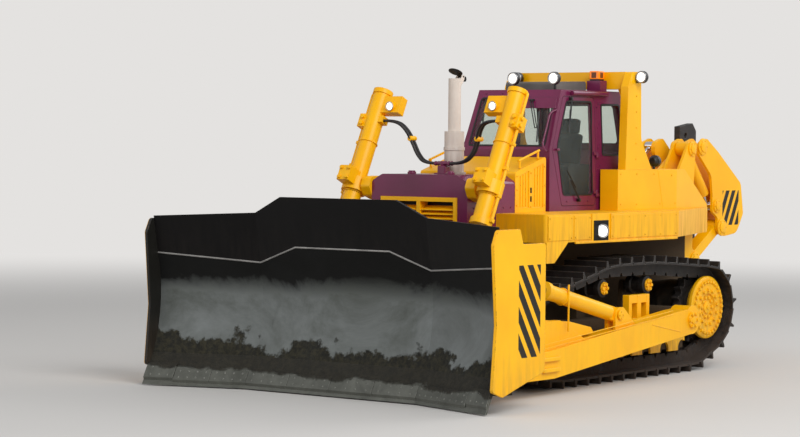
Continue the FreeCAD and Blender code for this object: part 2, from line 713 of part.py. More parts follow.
def fuel_tank():
    """A tank behind the cab with slanted rear corners, and flanks that reach forward beside the cab."""
    low = DECK_Z + SEAT
    body = slab_y([(TANK_FRONT, low), (TANK_FRONT, TANK_TOP, 25), (-2350, TANK_TOP), (-3230, low + 40), (-3230, low)],
                  -TANK_HALF, TANK_HALF)
    plan = slab_z([(TANK_FRONT, -TANK_HALF), (-2060, -TANK_HALF), (-3250, -800), (-3250, 800), (-2060, TANK_HALF),
                   (TANK_FRONT, TANK_HALF)], 2000, 2800)
    body = body.common(plan)
    flank = box(TANK_FRONT - 1, -550, CAB_HALF + 35, TANK_HALF, low, TANK_TOP)
    channel = box(-3300, -2380, -620, 620, 2000, 2800)
    return joined([body, flank, mirrored(flank)]).cut(channel)


def fender():
    plan = slab_z([(1880, HULL_HALF + SEAT), (1880, FENDER_HALF, 60), (-1280, FENDER_HALF, 30), (-3250, 800),
                   (-3250, HULL_HALF + SEAT)], FENDER_LOW, DECK_Z)
    apron = slab_y([(1880, 1560), (1880, FENDER_LOW + 10), (1380, FENDER_LOW + 10), (1700, 1560)], FENDER_HALF - 60, FENDER_HALF)
    hood_side = box(COWL_FRONT[0] - 20 + SEAT, 1900, HULL_HALF, HOOD_HALF + SEAT, FENDER_LOW - 1, DECK_Z + 1)
    return joined([plan, apron]).cut(hood_side)


def cowl_top(x):
    share = (x - COWL_REAR[0]) / (COWL_FRONT[0] - COWL_REAR[0])
    return COWL_REAR[1] + (COWL_FRONT[1] - COWL_REAR[1]) * share


def cowl():
    """A housing across the machine whose top falls to the hood, with two sunk panels on each side."""
    z = DECK_Z + SEAT
    case = slab_y([(COWL_REAR[0], z), (*COWL_REAR, 30), (*COWL_FRONT, 40), (COWL_FRONT[0], z)], -COWL_HALF, COWL_HALF)
    recess = []
    for low, high in ((835, 1075), (1160, 1400)):
        panel = slab_y([(low, z + 60), (low, cowl_top(low) - 70), (high, cowl_top(high) - 70), (high, z + 60)],
                       COWL_HALF - 12, COWL_HALF + 1)
        recess += pair(panel)
    return case.cut(Part.makeCompound(recess))


def handrail():
    """A low rail on two posts along the cowl's upper edge."""
    tube = 15
    y = COWL_HALF - 45
    low = (1340, cowl_top(1340) + 105)
    high = (870, cowl_top(870) + 105)
    bar = rod(at_y(low, y), at_y(high, y), tube)
    posts = [rod(vec(x, y, cowl_top(x - tube) + SEAT), vec(x, y, cowl_top(x) + 105), tube) for x in (1310, 900)]
    return joined([bar] + posts)


def work_lamps():
    z = CAB_TOP + 150
    lamps = []
    for x, y in ((180, -160), (-80, -480), (180, 480)):
        stem = rod(vec(x, y, CAB_TOP + SEAT), vec(x, y, z), 18)
        lamps.append(joined([stem, rod(vec(x - 50, y, z), vec(x + 60, y, z), 85)]))
    y = ARCH_HALF + 95
    arm = rod(vec(-1000, ARCH_HALF + SEAT, ARCH_TOP - 130), vec(-1000, y, ARCH_TOP - 130), 16)
    head = rod(vec(-1060, y, ARCH_TOP - 70), vec(-950, y, ARCH_TOP - 70), 82)
    lamps += pair(joined([arm, head]))
    stem = rod(vec(-1700, 850, TANK_TOP + SEAT), vec(-1700, 850, TANK_TOP + 60), 15)
    head = rod(vec(-1640, 850, TANK_TOP + 110), vec(-1760, 850, TANK_TOP + 110), 80)
    lamps.append(joined([stem, head]))
    x = sum(BEACON_STAND_X) / 2
    y = sum(BEACON_STAND_Y) / 2
    lamps.append(Part.makeCylinder(52, 120, vec(x, y, BEACON_STAND_HIGH + SEAT)))
    return lamps


# Blade

def blade_section():
    """The blade's skin seen from the side: straight foot, hollow face and leaning top."""
    foot = (BLADE_FOOT_X, BLADE_FOOT_Z)
    heel = (4090, 400)
    hollow = (3955, 1000)
    seam = (4010, 1650)
    top = (4150, 2400)
    return foot, heel, hollow, seam, top


def skin(depth_front, depth_back, y):
    """A face between two copies of the section, moved back by the given depths."""
    foot, heel, hollow, seam, top = blade_section()

    def side(shift):
        return [vec(x - shift, y, z) for x, z in (heel, hollow, seam, top)]

    front = side(depth_front)
    back = side(depth_back)
    edges = [
        Part.Arc(front[0], front[1], front[2]).toShape(),
        Part.makeLine(front[2], front[3]),
        Part.makeLine(front[3], back[3]),
        Part.makeLine(back[3], back[2]),
        Part.Arc(back[2], back[1], back[0]).toShape(),
        Part.makeLine(back[0], front[0]),
    ]
    return Part.Face(Part.Wire(edges))


def spread(face_maker):
    """The middle of the blade and its two wings, swept from one section at the folds."""
    middle = face_maker(-FOLD_Y).extrude(vec(0, 2 * FOLD_Y, 0))
    wing = face_maker(FOLD_Y).extrude(vec(WING_FORWARD, BLADE_HALF - FOLD_Y, 0))
    return joined([middle, wing, mirrored(wing)])


def over_line(heights):
    """The space above a symmetric line of (y, z) points."""
    points = [(-y, z) for y, z in reversed(heights)] + list(heights)
    points += [(heights[-1][0], 3500), (-heights[-1][0], 3500)]
    return slab_x(points, 3000, 5500)


SEAM_LINE = ((720, 1750), (FOLD_Y, 1545), (BLADE_HALF + 1, 1640))
TOP_LINE = ((880, 2360), (FOLD_Y, 2160), (BLADE_HALF + 1, 2100))


def wing_x(y):
    """How far the skin stands forward of the middle at a distance from the middle plane."""
    return WING_FORWARD * max(0, abs(y) - FOLD_Y) / (BLADE_HALF - FOLD_Y)


def beam_face(x_front, x_back, z_low, z_high):
    def make(y):
        wire = outline([(x_front, z_low), (x_front, z_high), (x_back, z_high), (x_back, z_low)], lambda x, z: vec(x, y, z))
        return Part.Face(wire)
    return make


def blade_back():
    """Level boxes behind the skin that stiffen the middle and the wings."""
    def beam(x_front, x_back, z_low, z_high):
        return spread(beam_face(x_front, x_back, z_low, z_high))
    return [beam(4010, 3760, 200, 470), beam(3960, 3760, 1380, 1640)]


def moldboard():
    plate = spread(lambda y: skin(0, PLATE, y))
    plate = plate.cut(over_line(SEAM_LINE))
    backing = blade_back()
    ribs = []
    for share in RIB_SHARES:
        y = share * BLADE_HALF
        shift = wing_x(y)
        rib = slab_y([(3990 + shift, 440), (3930 + shift, 1000), (3960 + shift, 1400), (3800 + shift, 1400),
                      (3800 + shift, 440)], y - 20, y + 20)
        ribs.append(rib)
        if y:
            ribs.append(mirrored(rib))
    lugs = []
    for y in (LIFT_Y - 95, LIFT_Y + 75):
        lug = slab_y([(4000, 560), (LIFT_EYE[0] - 70, LIFT_EYE[1] - 70, 60), (LIFT_EYE[0] - 70, LIFT_EYE[1] + 80, 60), (4000, 1150)], y, y + 20)
        lugs += pair(lug)
    arm_seat = box(ARM_END + SEAT, 4060, ARM_IN - 20, ARM_OUT + 20, 210, 460)
    brace_seat = box(BRACE_HIGH[0], 4060, BRACE_Y - 80, BRACE_Y + 80, 1440, 1640)
    whole = joined([plate] + backing + ribs + lugs + pair(arm_seat) + pair(brace_seat))
    front_space = spread(lambda y: skin(-400, 0, y))
    whole = whole.cut(front_space)
    return whole.cut(over_line(SEAM_LINE))


def spill_plate():
    plate = spread(lambda y: skin(0, PLATE, y))
    return plate.common(over_line([(y, z + SEAT) for y, z in SEAM_LINE])).cut(over_line(TOP_LINE))


def cutting_edge():
    foot, heel, hollow, seam, top = blade_section()

    def bar_face(y):
        corners = [(foot[0] + 12, foot[1]), (heel[0] - PLATE, heel[1] - SEAT), (heel[0], heel[1] - SEAT), (foot[0] + 40, foot[1])]
        return Part.Face(outline(corners, lambda x, z: vec(x, y, z)))
    return spread(bar_face)


def blade_side():
    y_low = BLADE_HALF + SEAT
    return slab_y([(3600, 430, 60), (3600, 1900, 40), (4060, 1900, 30), (4120, 2070, 30), (4560, 2070, 60), (4640, 1900, 60),
                   (4570, 1000), (4640, 260, 40), (4440, 190, 40)], y_low, y_low + SIDE_PLATE)


def push_arm():
    boss = TRUNNION_R + 90
    body = slab_y([(TRUNNION_X - 20, TRUNNION_Z + 150, 60), (TRUNNION_X + 300, TRUNNION_Z + 130, 60), (2400, 560, 300), (ARM_END, 450),
                   (ARM_END, 215), (2400, 215, 300), (TRUNNION_X, TRUNNION_Z - 180, 80), (TRUNNION_X - 180, TRUNNION_Z, 60)], ARM_IN, ARM_OUT)
    eye = pin_y((TRUNNION_X, TRUNNION_Z), boss, ARM_IN, ARM_OUT)
    x, z = BRACE_LOW
    ear = [(x - 530, 640), (x - 90, z + 95, 90), (x + 95, z + 95, 95), (x + 100, 620)]
    ears = [slab_y(ear, BRACE_Y + BRACE_EAR, BRACE_Y + BRACE_EAR + 35), slab_y(ear, BRACE_Y - BRACE_EAR - 35, BRACE_Y - BRACE_EAR)]
    ears.append(pin_y(BRACE_LOW, BRACE_PIN_R, BRACE_Y - BRACE_EAR - 50, BRACE_Y + BRACE_EAR + 50))
    gusset = slab_y([(1420, 560), (2150, 900, 60), (2500, 900, 60), (3500, 460)], ARM_IN + 90, ARM_OUT - 90)
    whole = joined([body, eye, gusset] + ears)
    return whole.cut(pin_y((TRUNNION_X, TRUNNION_Z), TRUNNION_R + RUN, ARM_IN - 1, ARM_OUT - 30))


def brace_barrel():
    start = at_y(point_along(BRACE_LOW, BRACE_HIGH, 60), BRACE_Y)
    end = at_y(point_along(BRACE_LOW, BRACE_HIGH, 1650), BRACE_Y)
    barrel = rod(start, end, 95)
    collar = rod(at_y(point_along(BRACE_LOW, BRACE_HIGH, 1570), BRACE_Y), end, 115)
    bore = rod(at_y(point_along(BRACE_LOW, BRACE_HIGH, 900), BRACE_Y), at_y(point_along(BRACE_LOW, BRACE_HIGH, 1660), BRACE_Y), 50 + RUN)
    eye = pin_y(BRACE_LOW, 95, BRACE_Y - BRACE_EAR + SEAT, BRACE_Y + BRACE_EAR - SEAT)
    hole = pin_y(BRACE_LOW, BRACE_PIN_R + SEAT, BRACE_Y - BRACE_EAR, BRACE_Y + BRACE_EAR)
    keep = box(0, 5000, BRACE_Y - BRACE_EAR + SEAT, BRACE_Y + BRACE_EAR - SEAT, 0, 3000)
    neck = rod(at_y(BRACE_LOW, BRACE_Y), start + (end - start) * 0.12, 95).common(keep)
    start_cut = rod(at_y(BRACE_LOW, BRACE_Y), start + (end - start) * 0.07, 400)
    barrel = barrel.cut(start_cut)
    return joined([barrel, collar, eye, neck]).cut(bore).cut(hole)


def brace_rod():
    start = at_y(point_along(BRACE_LOW, BRACE_HIGH, 1000), BRACE_Y)
    length = math.dist(BRACE_LOW, BRACE_HIGH)
    end = at_y(point_along(BRACE_LOW, BRACE_HIGH, length + 60), BRACE_Y)
    keep = box(0, BRACE_HIGH[0] - SEAT, 0, 3000, 0, 3000)
    return rod(start, end, 50).common(keep)


# Lift cylinders

def lift_point(distance):
    return at_y(point_along(LIFT_PIVOT, LIFT_EYE, distance), LIFT_Y)


def lift_flat(along, across):
    """The flat point (x, z) at a distance along the cylinder's axis and forward of it."""
    x, z = point_along(LIFT_PIVOT, LIFT_EYE, along)
    length = math.dist(LIFT_PIVOT, LIFT_EYE)
    forward = (LIFT_PIVOT[1] - LIFT_EYE[1]) / length
    upward = (LIFT_EYE[0] - LIFT_PIVOT[0]) / length
    return (x + across * forward, z + across * upward)


def lift_block(start, end, back, front, y_low, y_high):
    """A block that lies along the cylinder between two distances from its pivot."""
    corners = [lift_flat(start, back), lift_flat(end, back), lift_flat(end, front), lift_flat(start, front)]
    return slab_y(corners, y_low, y_high)


def lift_barrel():
    """A long barrel with its trunnion, lamp box, valve block and outer pipe."""
    inner = LIFT_Y - 60
    outer = LIFT_Y + 60
    tube = rod(lift_point(-LIFT_ABOVE), lift_point(LIFT_BELOW), LIFT_BARREL_R)
    cap = rod(lift_point(-LIFT_ABOVE), lift_point(-LIFT_ABOVE + 60), LIFT_BARREL_R + 15)
    gland = rod(lift_point(LIFT_BELOW - 80), lift_point(LIFT_BELOW), LIFT_BARREL_R + 25)
    collar = rod(lift_point(-90), lift_point(90), LIFT_COLLAR_R)
    yoke = lift_block(-160, 40, 60, 280, LIFT_Y - 90, LIFT_Y + 90)
    trunnion = pin_y(LIFT_PIVOT, LIFT_PIN_R, LIFT_Y - LIFT_PIN_REACH, LIFT_Y)
    lamp_box = lift_block(-1240, -1010, -60, 60, LIFT_Y - LAMP_BOX_REACH, inner)
    lamp_at = at_y(lift_flat(-1125, 0), LIFT_Y - LAMP_BOX_REACH + 130)
    lamp = rod(lamp_at, lamp_at + vec(110, 0, 0), 62)
    port = lift_block(-965, -875, -60, 60, LIFT_Y - HOSE_PORT_REACH, inner)
    valve = lift_block(-980, -800, -90, 90, outer, LIFT_Y + LIFT_BARREL_R + 75)
    pipe_y = LIFT_Y + LIFT_BARREL_R + 35
    aside = vec(0, pipe_y - LIFT_Y, 0)
    pipe = rod(lift_point(-810) + aside, lift_point(LIFT_BELOW - 60) + aside, 22)
    feet = [lift_block(at, at + 50, -30, 30, outer, pipe_y + 25) for at in (-300, LIFT_BELOW - 100)]
    bore = rod(lift_point(-LIFT_ABOVE + 60), lift_point(LIFT_BELOW - 70), LIFT_BARREL_R - 15)
    mouth = rod(lift_point(LIFT_BELOW - 100), lift_point(LIFT_BELOW + 1), LIFT_ROD_R + RUN)
    whole = joined([tube, cap, gland, collar, yoke, trunnion, lamp_box, lamp, port, valve, pipe] + feet)
    return whole.cut(bore).cut(mouth)


def lift_rod():
    length = math.dist(LIFT_PIVOT, LIFT_EYE)
    shaft = rod(lift_point(-300), lift_point(length - 40), LIFT_ROD_R)
    eye = pin_y(LIFT_EYE, 95, LIFT_Y - 60, LIFT_Y + 60)
    return joined([shaft, eye])


def cylinder_bracket():
    """A bearing block on the hood's side that holds the trunnion."""
    x, z = LIFT_PIVOT
    outer = LIFT_Y - LIFT_COLLAR_R - SIDE
    block = slab_y([(x - 330, z - 190, 40), (x - 100, z - 170, 60), (x + 50, z - 120, 60), (x + 110, z, 60), (x + 60, z + 120, 60),
                    (x - 150, z + 130, 60), (x - 330, z + 60, 40)], HOOD_HALF + SEAT, outer)
    return block.cut(pin_y(LIFT_PIVOT, LIFT_PIN_R + RUN, LIFT_Y - LIFT_PIN_REACH - RUN, outer + 1))


# Ripper

def ripper_mount():
    """Two towers of twin plates behind the hull that carry the arm and the cylinders."""
    pieces = []
    for low, high in RIPPER_PLATES:
        tower = slab_y([(HULL_REAR - SEAT, 1180), (HULL_REAR - SEAT, 2300), (-2600, 2440), (-2600, 2650, 60), (-2800, 2690), (-3060, 3070, 80),
                        (-3240, 3070, 90), (-3240, 2890, 90), (-3190, 2300), (-3190, 1560), (-3355, 1505, 90), (-3355, 1295, 90), (-3190, 1180)], low, high)
        pieces.append(tower)
    plate = box(HULL_REAR - 60, HULL_REAR - SEAT, -600, 600, 1180, 2100)
    inner = slab_y([(HULL_REAR - SEAT, 2000), (HULL_REAR - SEAT, 2300), (-2600, 2440), (-2600, 2650, 60), (-2800, 2680), (-3040, 2400), (-3040, 2000)], *RIPPER_INNER)
    lift_pin = pin_y(RIPPER_LIFT_TOP, RIPPER_PIN_R, RIPPER_PLATES[0][0], RIPPER_PLATES[1][1] + 20)
    arm_pin = pin_y(RIPPER_PIVOT, RIPPER_PIN_R, RIPPER_PLATES[0][0] - 20, RIPPER_PLATES[1][1] + 20)
    tilt_pin = pin_y(RIPPER_TILT_BASE, RIPPER_PIN_R, RIPPER_INNER[0] - 10, RIPPER_PLATES[0][0] + 5)
    side = joined(pieces + [inner, lift_pin, arm_pin, tilt_pin])
    cross = box(-3040, HULL_REAR - SEAT, -600, 600, 2000, 2180)
    return joined([plate, side, mirrored(side), cross])


def ripper_arm():
    """The lower link: two beams with an eye at each end and a tube across."""
    low = RIPPER_PLATES[0][1] + SIDE
    high = RIPPER_PLATES[1][0] - SIDE
    start = RIPPER_PIVOT
    end = RIPPER_KNEE
    lean = math.atan2(end[1] - start[1], end[0] - start[0])
    across = (math.sin(lean) * 75, -math.cos(lean) * 75)
    beam = slab_y([(start[0] + across[0], start[1] + across[1]), (end[0] + across[0], end[1] + across[1]),
                   (end[0] - across[0], end[1] - across[1]), (start[0] - across[0], start[1] - across[1])], low, high)
    eyes = [pin_y(start, 105, low, high), pin_y(end, 105, low, high)]
    side = joined([beam] + eyes)
    holes = [pin_y(start, RIPPER_PIN_R + RUN, low - 1, high + 1), pin_y(end, RIPPER_PIN_R + RUN, low - 1, high + 1)]
    side = side.cut(Part.makeCompound(holes))
    middle = point_along(start, end, 430)
    tube = pin_y(middle, 70, -low - 10, low + 10)
    return joined([side, mirrored(side), tube])


def ripper_beam():
    """The tool carrier: curved side plates, ears on top and the pocket of the shank."""
    plate_outline = [
        (-3330, 3060, 90), (-3560, 3130, 90), (-3900, 2930, 200), (-4560, 2480, 120), (-4640, 2040, 90), (-4450, 1760, 200),
        (-4090, 1720, 120), (-3880, 1800, 90), (-3900, 1990, 60), (-3740, 2080, 60), (-3740, 2330, 60), (-3700, 2600, 200), (-3340, 2900, 90),
    ]
    plates = [slab_y(plate_outline, low, high) for low, high in RIPPER_PLATES]
    inner = slab_y([(-3330, 3060, 90), (-3560, 3130, 90), (-4100, 2700, 100), (-4100, 2300), (-3900, 2300), (-3700, 2600, 200), (-3340, 2900, 90)], *RIPPER_INNER)
    pins = [
        pin_y(RIPPER_LIFT_FOOT, RIPPER_PIN_R, RIPPER_PLATES[0][0] - 15, RIPPER_PLATES[0][1] - 5),
        pin_y(RIPPER_LIFT_FOOT, RIPPER_PIN_R, RIPPER_PLATES[1][0] + 5, RIPPER_PLATES[1][1] + 20),
    ]
    side = joined(plates + [inner] + pins)
    knee_hole = pin_y(RIPPER_KNEE, RIPPER_PIN_R + RUN, RIPPER_PLATES[0][0] - 1, RIPPER_PLATES[1][1] + 1)
    side = side.cut(knee_hole)
    cross = box(-4420, -4060, -RIPPER_PLATES[1][0] - 5, RIPPER_PLATES[1][0] + 5, 2060, 2420)
    pocket = box(-4225, -3955, -SHANK_HALF - 70, SHANK_HALF + 70, 1900, 2560)
    hole = box(-4200, -3980, -SHANK_HALF - SEAT, SHANK_HALF + SEAT, 1800, 2700)
    return joined([side, mirrored(side), cross, pocket]).cut(hole)


def ripper_pin():
    """The pin of a knee, with a head outside the outer ear."""
    pin = pin_y(RIPPER_KNEE, RIPPER_PIN_R, RIPPER_PLATES[0][0] - 10, RIPPER_PLATES[1][1] + RUN)
    head = pin_y(RIPPER_KNEE, RIPPER_PIN_R + 20, RIPPER_PLATES[1][1] + RUN, RIPPER_PLATES[1][1] + 22)
    return joined([pin, head])


def ripper_shank():
    """A bent shank with a pointed tip; its upper end stands above the pocket."""
    return slab_y([(-4199.7, 3330), (-4090, 3370), (-3980.3, 3290), (-3980.3, 1200, 400), (-3760, 850), (-3540, 650), (-3690, 620),
                   (-4000, 720, 200), (-4199.7, 1150, 500)], -SHANK_HALF, SHANK_HALF)


def ripper_cylinder(start, end, y, barrel_r, rod_r, barrel_share, eye_half):
    """A barrel with its eye at start and a rod whose eye at end stays clear of its pin."""
    length = math.dist(start, end)
    inner_end = barrel_r + 45
    barrel_end = length * barrel_share

    def place(distance):
        return at_y(point_along(start, end, distance), y)

    barrel = rod(place(60), place(barrel_end), barrel_r)
    eye = pin_y(start, barrel_r + 20, y - eye_half, y + eye_half)
    hole = pin_y(start, RIPPER_PIN_R + RUN, y - eye_half - 1, y + eye_half + 1)
    bore = rod(place(inner_end - 8), place(barrel_end + 1), rod_r + RUN)
    barrel = joined([barrel, eye]).cut(hole).cut(bore)
    shaft = rod(place(inner_end), place(length - 60), rod_r)
    rod_eye = pin_y(end, rod_r + 35, y - eye_half, y + eye_half)
    return barrel, joined([shaft, rod_eye])


def hose_fittings():
    """The block on the hood where the lift cylinders' hoses meet."""
    x, y, z = HOSE_ROUTE[-1]
    return box(x - 22, x + HOSE_APART + 40, SEAT - y, y - SEAT, HOOD_TOP + SEAT, z + 35)


def hoses():
    """Two hoses side by side."""
    other = [(x + HOSE_APART, y, z) for x, y, z in HOSE_ROUTE]
    return [hose(HOSE_ROUTE, HOSE_R), hose(other, HOSE_R)]


def hose(points, radius):
    """A tube along straight runs and the largest tangent arcs that its runs allow."""
    places = [vec(*point) for point in points]
    edges = []
    at = places[0]
    for index in range(1, len(places) - 1):
        before, here, after = places[index - 1], places[index], places[index + 1]
        shorter = min((here - before).Length, (after - here).Length)
        turn = (here - before).getAngle(after - here)
        bend = 0.45 * shorter / math.tan(turn / 2)
        print("hose bend radius", round(bend), "turn", round(math.degrees(turn)))
        arc = corner(before, here, after, bend)
        edges.append(Part.makeLine(at, arc[0]))
        edges.append(Part.Arc(*arc).toShape())
        at = arc[2]
    edges.append(Part.makeLine(at, places[-1]))
    path = Part.Wire(edges)
    ring = Part.Wire(Part.makeCircle(radius, places[0], places[1] - places[0]))
    tube = path.makePipeShell([ring], True, False)
    print("hose volume over section times length", round(tube.Volume / (math.pi * radius ** 2 * path.Length), 4))
    return tube


HOSE_R = 18
HOSE_APART = 60
HOSE_ROUTE = (
    (2022, LIFT_Y - HOSE_PORT_REACH - SEAT, 3310),
    (2022, 690, 3310),
    (1975, 565, 3200),
    (1925, 500, 3035),
    (1920, 425, 2880),
    (1950, 290, 2775),
    (1950, 120, 2775),
)


os.makedirs("parts", exist_ok=True)

save("main_frame", [main_frame()])
save("engine_block", [engine_block()])
save("hood", [hood()])
save("grille", [grille()])
save("exhaust_stack", [exhaust_stack()])
save("exhaust_flap", [exhaust_flap()])

cab_body, cab_panes, left_door, left_pane = cab_parts()
save("cab_shell", [cab_body])
save("cab_glass", cab_panes)
save("door_left", [left_door])
save("door_right", [mirrored(left_door)])
save("door_glass_left", [left_pane])
save("door_glass_right", [mirrored(left_pane)])
save("seat_base", seat())
save("seat_cushions", seat_cushions())
save("controls", controls())
save("roof_unit", [roof_unit()])
save("rops_arch", [arch()])
save("work_lamps", work_lamps())
save("fuel_tank", [fuel_tank()])
save("fenders", pair(fender()))
save("cowl", [cowl()])
save("handrails", pair(handrail()))

left_track = track()
save("track_left", [left_track])
save("track_right", [mirrored(left_track)])
save("sprockets", pair(sprocket()))
save("final_drives", pair(final_drive()))
save("idlers", pair(idler()))
save("track_rollers", [piece for x in roller_places() for piece in pair(roller(x))])
save("carrier_rollers", [piece for x in CARRIER_X for piece in pair(carrier(x))])
save("roller_frames", pair(roller_frame()))
save("roller_guards", pair(roller_guard()))

save("moldboard", [moldboard()])
save("spill_plate", [spill_plate()])
save("cutting_edge", [cutting_edge()])
save("blade_sides", pair(blade_side()))
left_arm = push_arm()
save("push_arm_left", [left_arm])
save("push_arm_right", [mirrored(left_arm)])
save("brace_barrels", pair(brace_barrel()))
save("brace_rods", pair(brace_rod()))

left_barrel = lift_barrel()
left_rod = lift_rod()
save("lift_barrel_left", [left_barrel])
save("lift_barrel_right", [mirrored(left_barrel)])
save("lift_rod_left", [left_rod])
save("lift_rod_right", [mirrored(left_rod)])
save("cylinder_brackets", pair(cylinder_bracket()))
save("hose_fittings", [hose_fittings()])
left_hoses = hoses()
save("hoses_left", left_hoses)
save("hoses_right", [mirrored(tube) for tube in left_hoses])

save("ripper_mount", [ripper_mount()])
save("ripper_arm", [ripper_arm()])
save("ripper_beam", [ripper_beam()])
save("ripper_pins", pair(ripper_pin()))
save("ripper_shank", [ripper_shank()])
barrel, shaft = ripper_cylinder(RIPPER_LIFT_TOP, RIPPER_LIFT_FOOT, 465, 80, 42, 0.79, 85)
save("ripper_lift_barrels", pair(barrel))
save("ripper_lift_rods", pair(shaft))
barrel, shaft = ripper_cylinder(RIPPER_TILT_BASE, RIPPER_TILT_EYE, 260, 54, 32, 0.68, 60)
save("ripper_tilt_barrels", pair(barrel))
save("ripper_tilt_rods", pair(shaft))
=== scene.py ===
import bpy
import bmesh
import math
from mathutils import Matrix, Vector


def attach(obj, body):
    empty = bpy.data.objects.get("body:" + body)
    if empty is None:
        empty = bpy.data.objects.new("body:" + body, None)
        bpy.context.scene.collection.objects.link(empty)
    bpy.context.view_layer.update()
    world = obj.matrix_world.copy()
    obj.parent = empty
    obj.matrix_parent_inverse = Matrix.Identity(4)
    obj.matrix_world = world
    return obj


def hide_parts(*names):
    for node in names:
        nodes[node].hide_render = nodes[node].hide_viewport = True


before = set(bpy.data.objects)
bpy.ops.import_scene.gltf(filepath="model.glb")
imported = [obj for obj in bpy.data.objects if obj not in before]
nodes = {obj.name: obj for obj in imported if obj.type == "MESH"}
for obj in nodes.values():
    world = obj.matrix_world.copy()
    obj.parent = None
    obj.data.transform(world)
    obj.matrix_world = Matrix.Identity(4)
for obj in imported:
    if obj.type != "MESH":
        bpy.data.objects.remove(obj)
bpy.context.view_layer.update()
flanks = ((1, "left"), (-1, "right"))
print("stage: frame loaded,", len(nodes), "nodes")


def addObject(name, data):
    made = bpy.data.objects.new(name, data)
    bpy.context.scene.collection.objects.link(made)
    return made


# camera and hoses

cameraPlace = {"at": (26.7, 18.045, 3.039), "yaw": 3.79, "pitch": -0.0315, "roll": 0.0089, "lens": 109.2, "reach": 200}


def makeCamera(place):
    yaw, pitch, roll = place["yaw"], place["pitch"], place["roll"]
    ahead = Vector((math.cos(pitch) * math.cos(yaw), math.cos(pitch) * math.sin(yaw), math.sin(pitch)))
    right = Vector((math.sin(yaw), -math.cos(yaw), 0))
    up = right.cross(ahead)
    turnedRight = math.cos(roll) * right + math.sin(roll) * up
    turnedUp = math.cos(roll) * up - math.sin(roll) * right
    camera = addObject("camera", bpy.data.cameras.new("camera"))
    turn = Matrix((turnedRight, turnedUp, -ahead)).transposed().to_4x4()
    camera.matrix_world = Matrix.Translation(place["at"]) @ turn
    camera.data.lens = place["lens"]
    camera.data.clip_end = place["reach"]
    bpy.context.scene.camera = camera


makeCamera(cameraPlace)

# lift hoses: the same points as the solids' route, left side, in metres
hoses = {
    "radius": 0.018,
    "apart": 0.060,
    "route": [(2.022, 0.8797, 3.310), (2.022, 0.690, 3.310), (1.975, 0.565, 3.200), (1.925, 0.500, 3.035),
              (1.920, 0.425, 2.880), (1.950, 0.290, 2.775), (1.950, 0.120, 2.775)],
}


def makeHose(name, points, radius):
    curve = bpy.data.curves.new(name, "CURVE")
    curve.dimensions = "3D"
    # the points carry the radius, since a curve's box reaches as far as theirs
    curve.bevel_depth = 1
    curve.bevel_resolution = 6
    curve.resolution_u = 16
    curve.use_fill_caps = True
    spline = curve.splines.new("NURBS")
    spline.points.add(len(points) - 1)
    for point, place in zip(spline.points, points):
        point.co = (*place, 1)
        point.radius = radius
    spline.order_u = 3
    spline.use_endpoint_u = True
    return addObject(name, curve)


def lineLength(hose):
    bare = addObject("bare", hose.data.copy())
    bare.data.bevel_depth = 0
    mesh = bpy.data.meshes.new_from_object(bare)
    spots = [vertex.co.copy() for vertex in mesh.vertices]
    bpy.data.objects.remove(bare)
    bpy.data.meshes.remove(mesh)
    return sum((b - a).length for a, b in zip(spots, spots[1:]))


hosePieces = []
for side, word in flanks:
    for number in range(2):
        points = [(x + number * hoses["apart"], y * side, z) for x, y, z in hoses["route"]]
        hose = makeHose(f"liftHose_{word}_{number + 1}", points, hoses["radius"])
        lineLength(hose)
        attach(hose, "tractor")
        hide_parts("hoses_" + word)
        hosePieces.append(hose)
print("stage: camera and hoses")


# materials

def linear(hexColour):
    parts = [int(hexColour[i:i + 2], 16) / 255 for i in (1, 3, 5)]
    return tuple(c / 12.92 if c <= 0.04045 else ((c + 0.055) / 1.055) ** 2.4 for c in parts) + (1,)


def addNode(tree, kind, links=None, **settings):
    # one node, its settings, and its inputs: a socket is linked, hex text is a colour, anything else a value
    made = tree.nodes.new("ShaderNode" + kind)
    for name, value in settings.items():
        setattr(made, name, value)
    for name, value in (links or {}).items():
        if isinstance(value, bpy.types.NodeSocket):
            tree.links.new(value, made.inputs[name])
        else:
            made.inputs[name].default_value = linear(value) if isinstance(value, str) else value
    return made


def reckon(tree, operation, *values):
    return addNode(tree, "Math", dict(enumerate(values)), operation=operation).outputs[0]


def remap(tree, value, low, high, start=0.0, end=1.0):
    return addNode(tree, "MapRange", {"Value": value, "From Min": low, "From Max": high, "To Min": start,
                                      "To Max": end}).outputs["Result"]


def mixColour(tree, share, first, second):
    return addNode(tree, "Mix", {0: share, 6: first, 7: second}, data_type="RGBA").outputs[2]


def addNoise(tree, place, scale, detail, roughness=0.5, distortion=0.0):
    return addNode(tree, "TexNoise", {"Vector": place, "Scale": scale, "Detail": detail, "Roughness": roughness,
                                      "Distortion": distortion}).outputs["Fac"]


def addBump(tree, height, strength, distance, **normal):
    return addNode(tree, "Bump", {"Strength": strength, "Distance": distance, "Height": height, **normal}).outputs[0]


def stretched(tree, place, scale):
    return addNode(tree, "Mapping", {"Vector": place, "Scale": scale}).outputs[0]


def within(tree, value, low, high):
    return reckon(tree, "COMPARE", value, (low + high) / 2, (high - low) / 2)


def startMaterial(name):
    material = bpy.data.materials.new(name)
    material.use_nodes = True
    tree = material.node_tree
    tree.nodes.clear()
    place = addNode(tree, "TexCoord").outputs["Object"]
    return material, tree, place


def endMaterial(tree, shader):
    tree.links.new(shader.outputs[0], addNode(tree, "OutputMaterial").inputs["Surface"])


def wornEdge(tree, radius):
    # the rounded normal, and a mask that is 1 where it leaves the flat one
    soft = addNode(tree, "Bevel", {"Radius": radius}, samples=4).outputs[0]
    flat = addNode(tree, "NewGeometry").outputs["Normal"]
    same = addNode(tree, "VectorMath", {0: soft, 1: flat}, operation="DOT_PRODUCT").outputs["Value"]
    return soft, remap(tree, same, 0.985, 0.86)


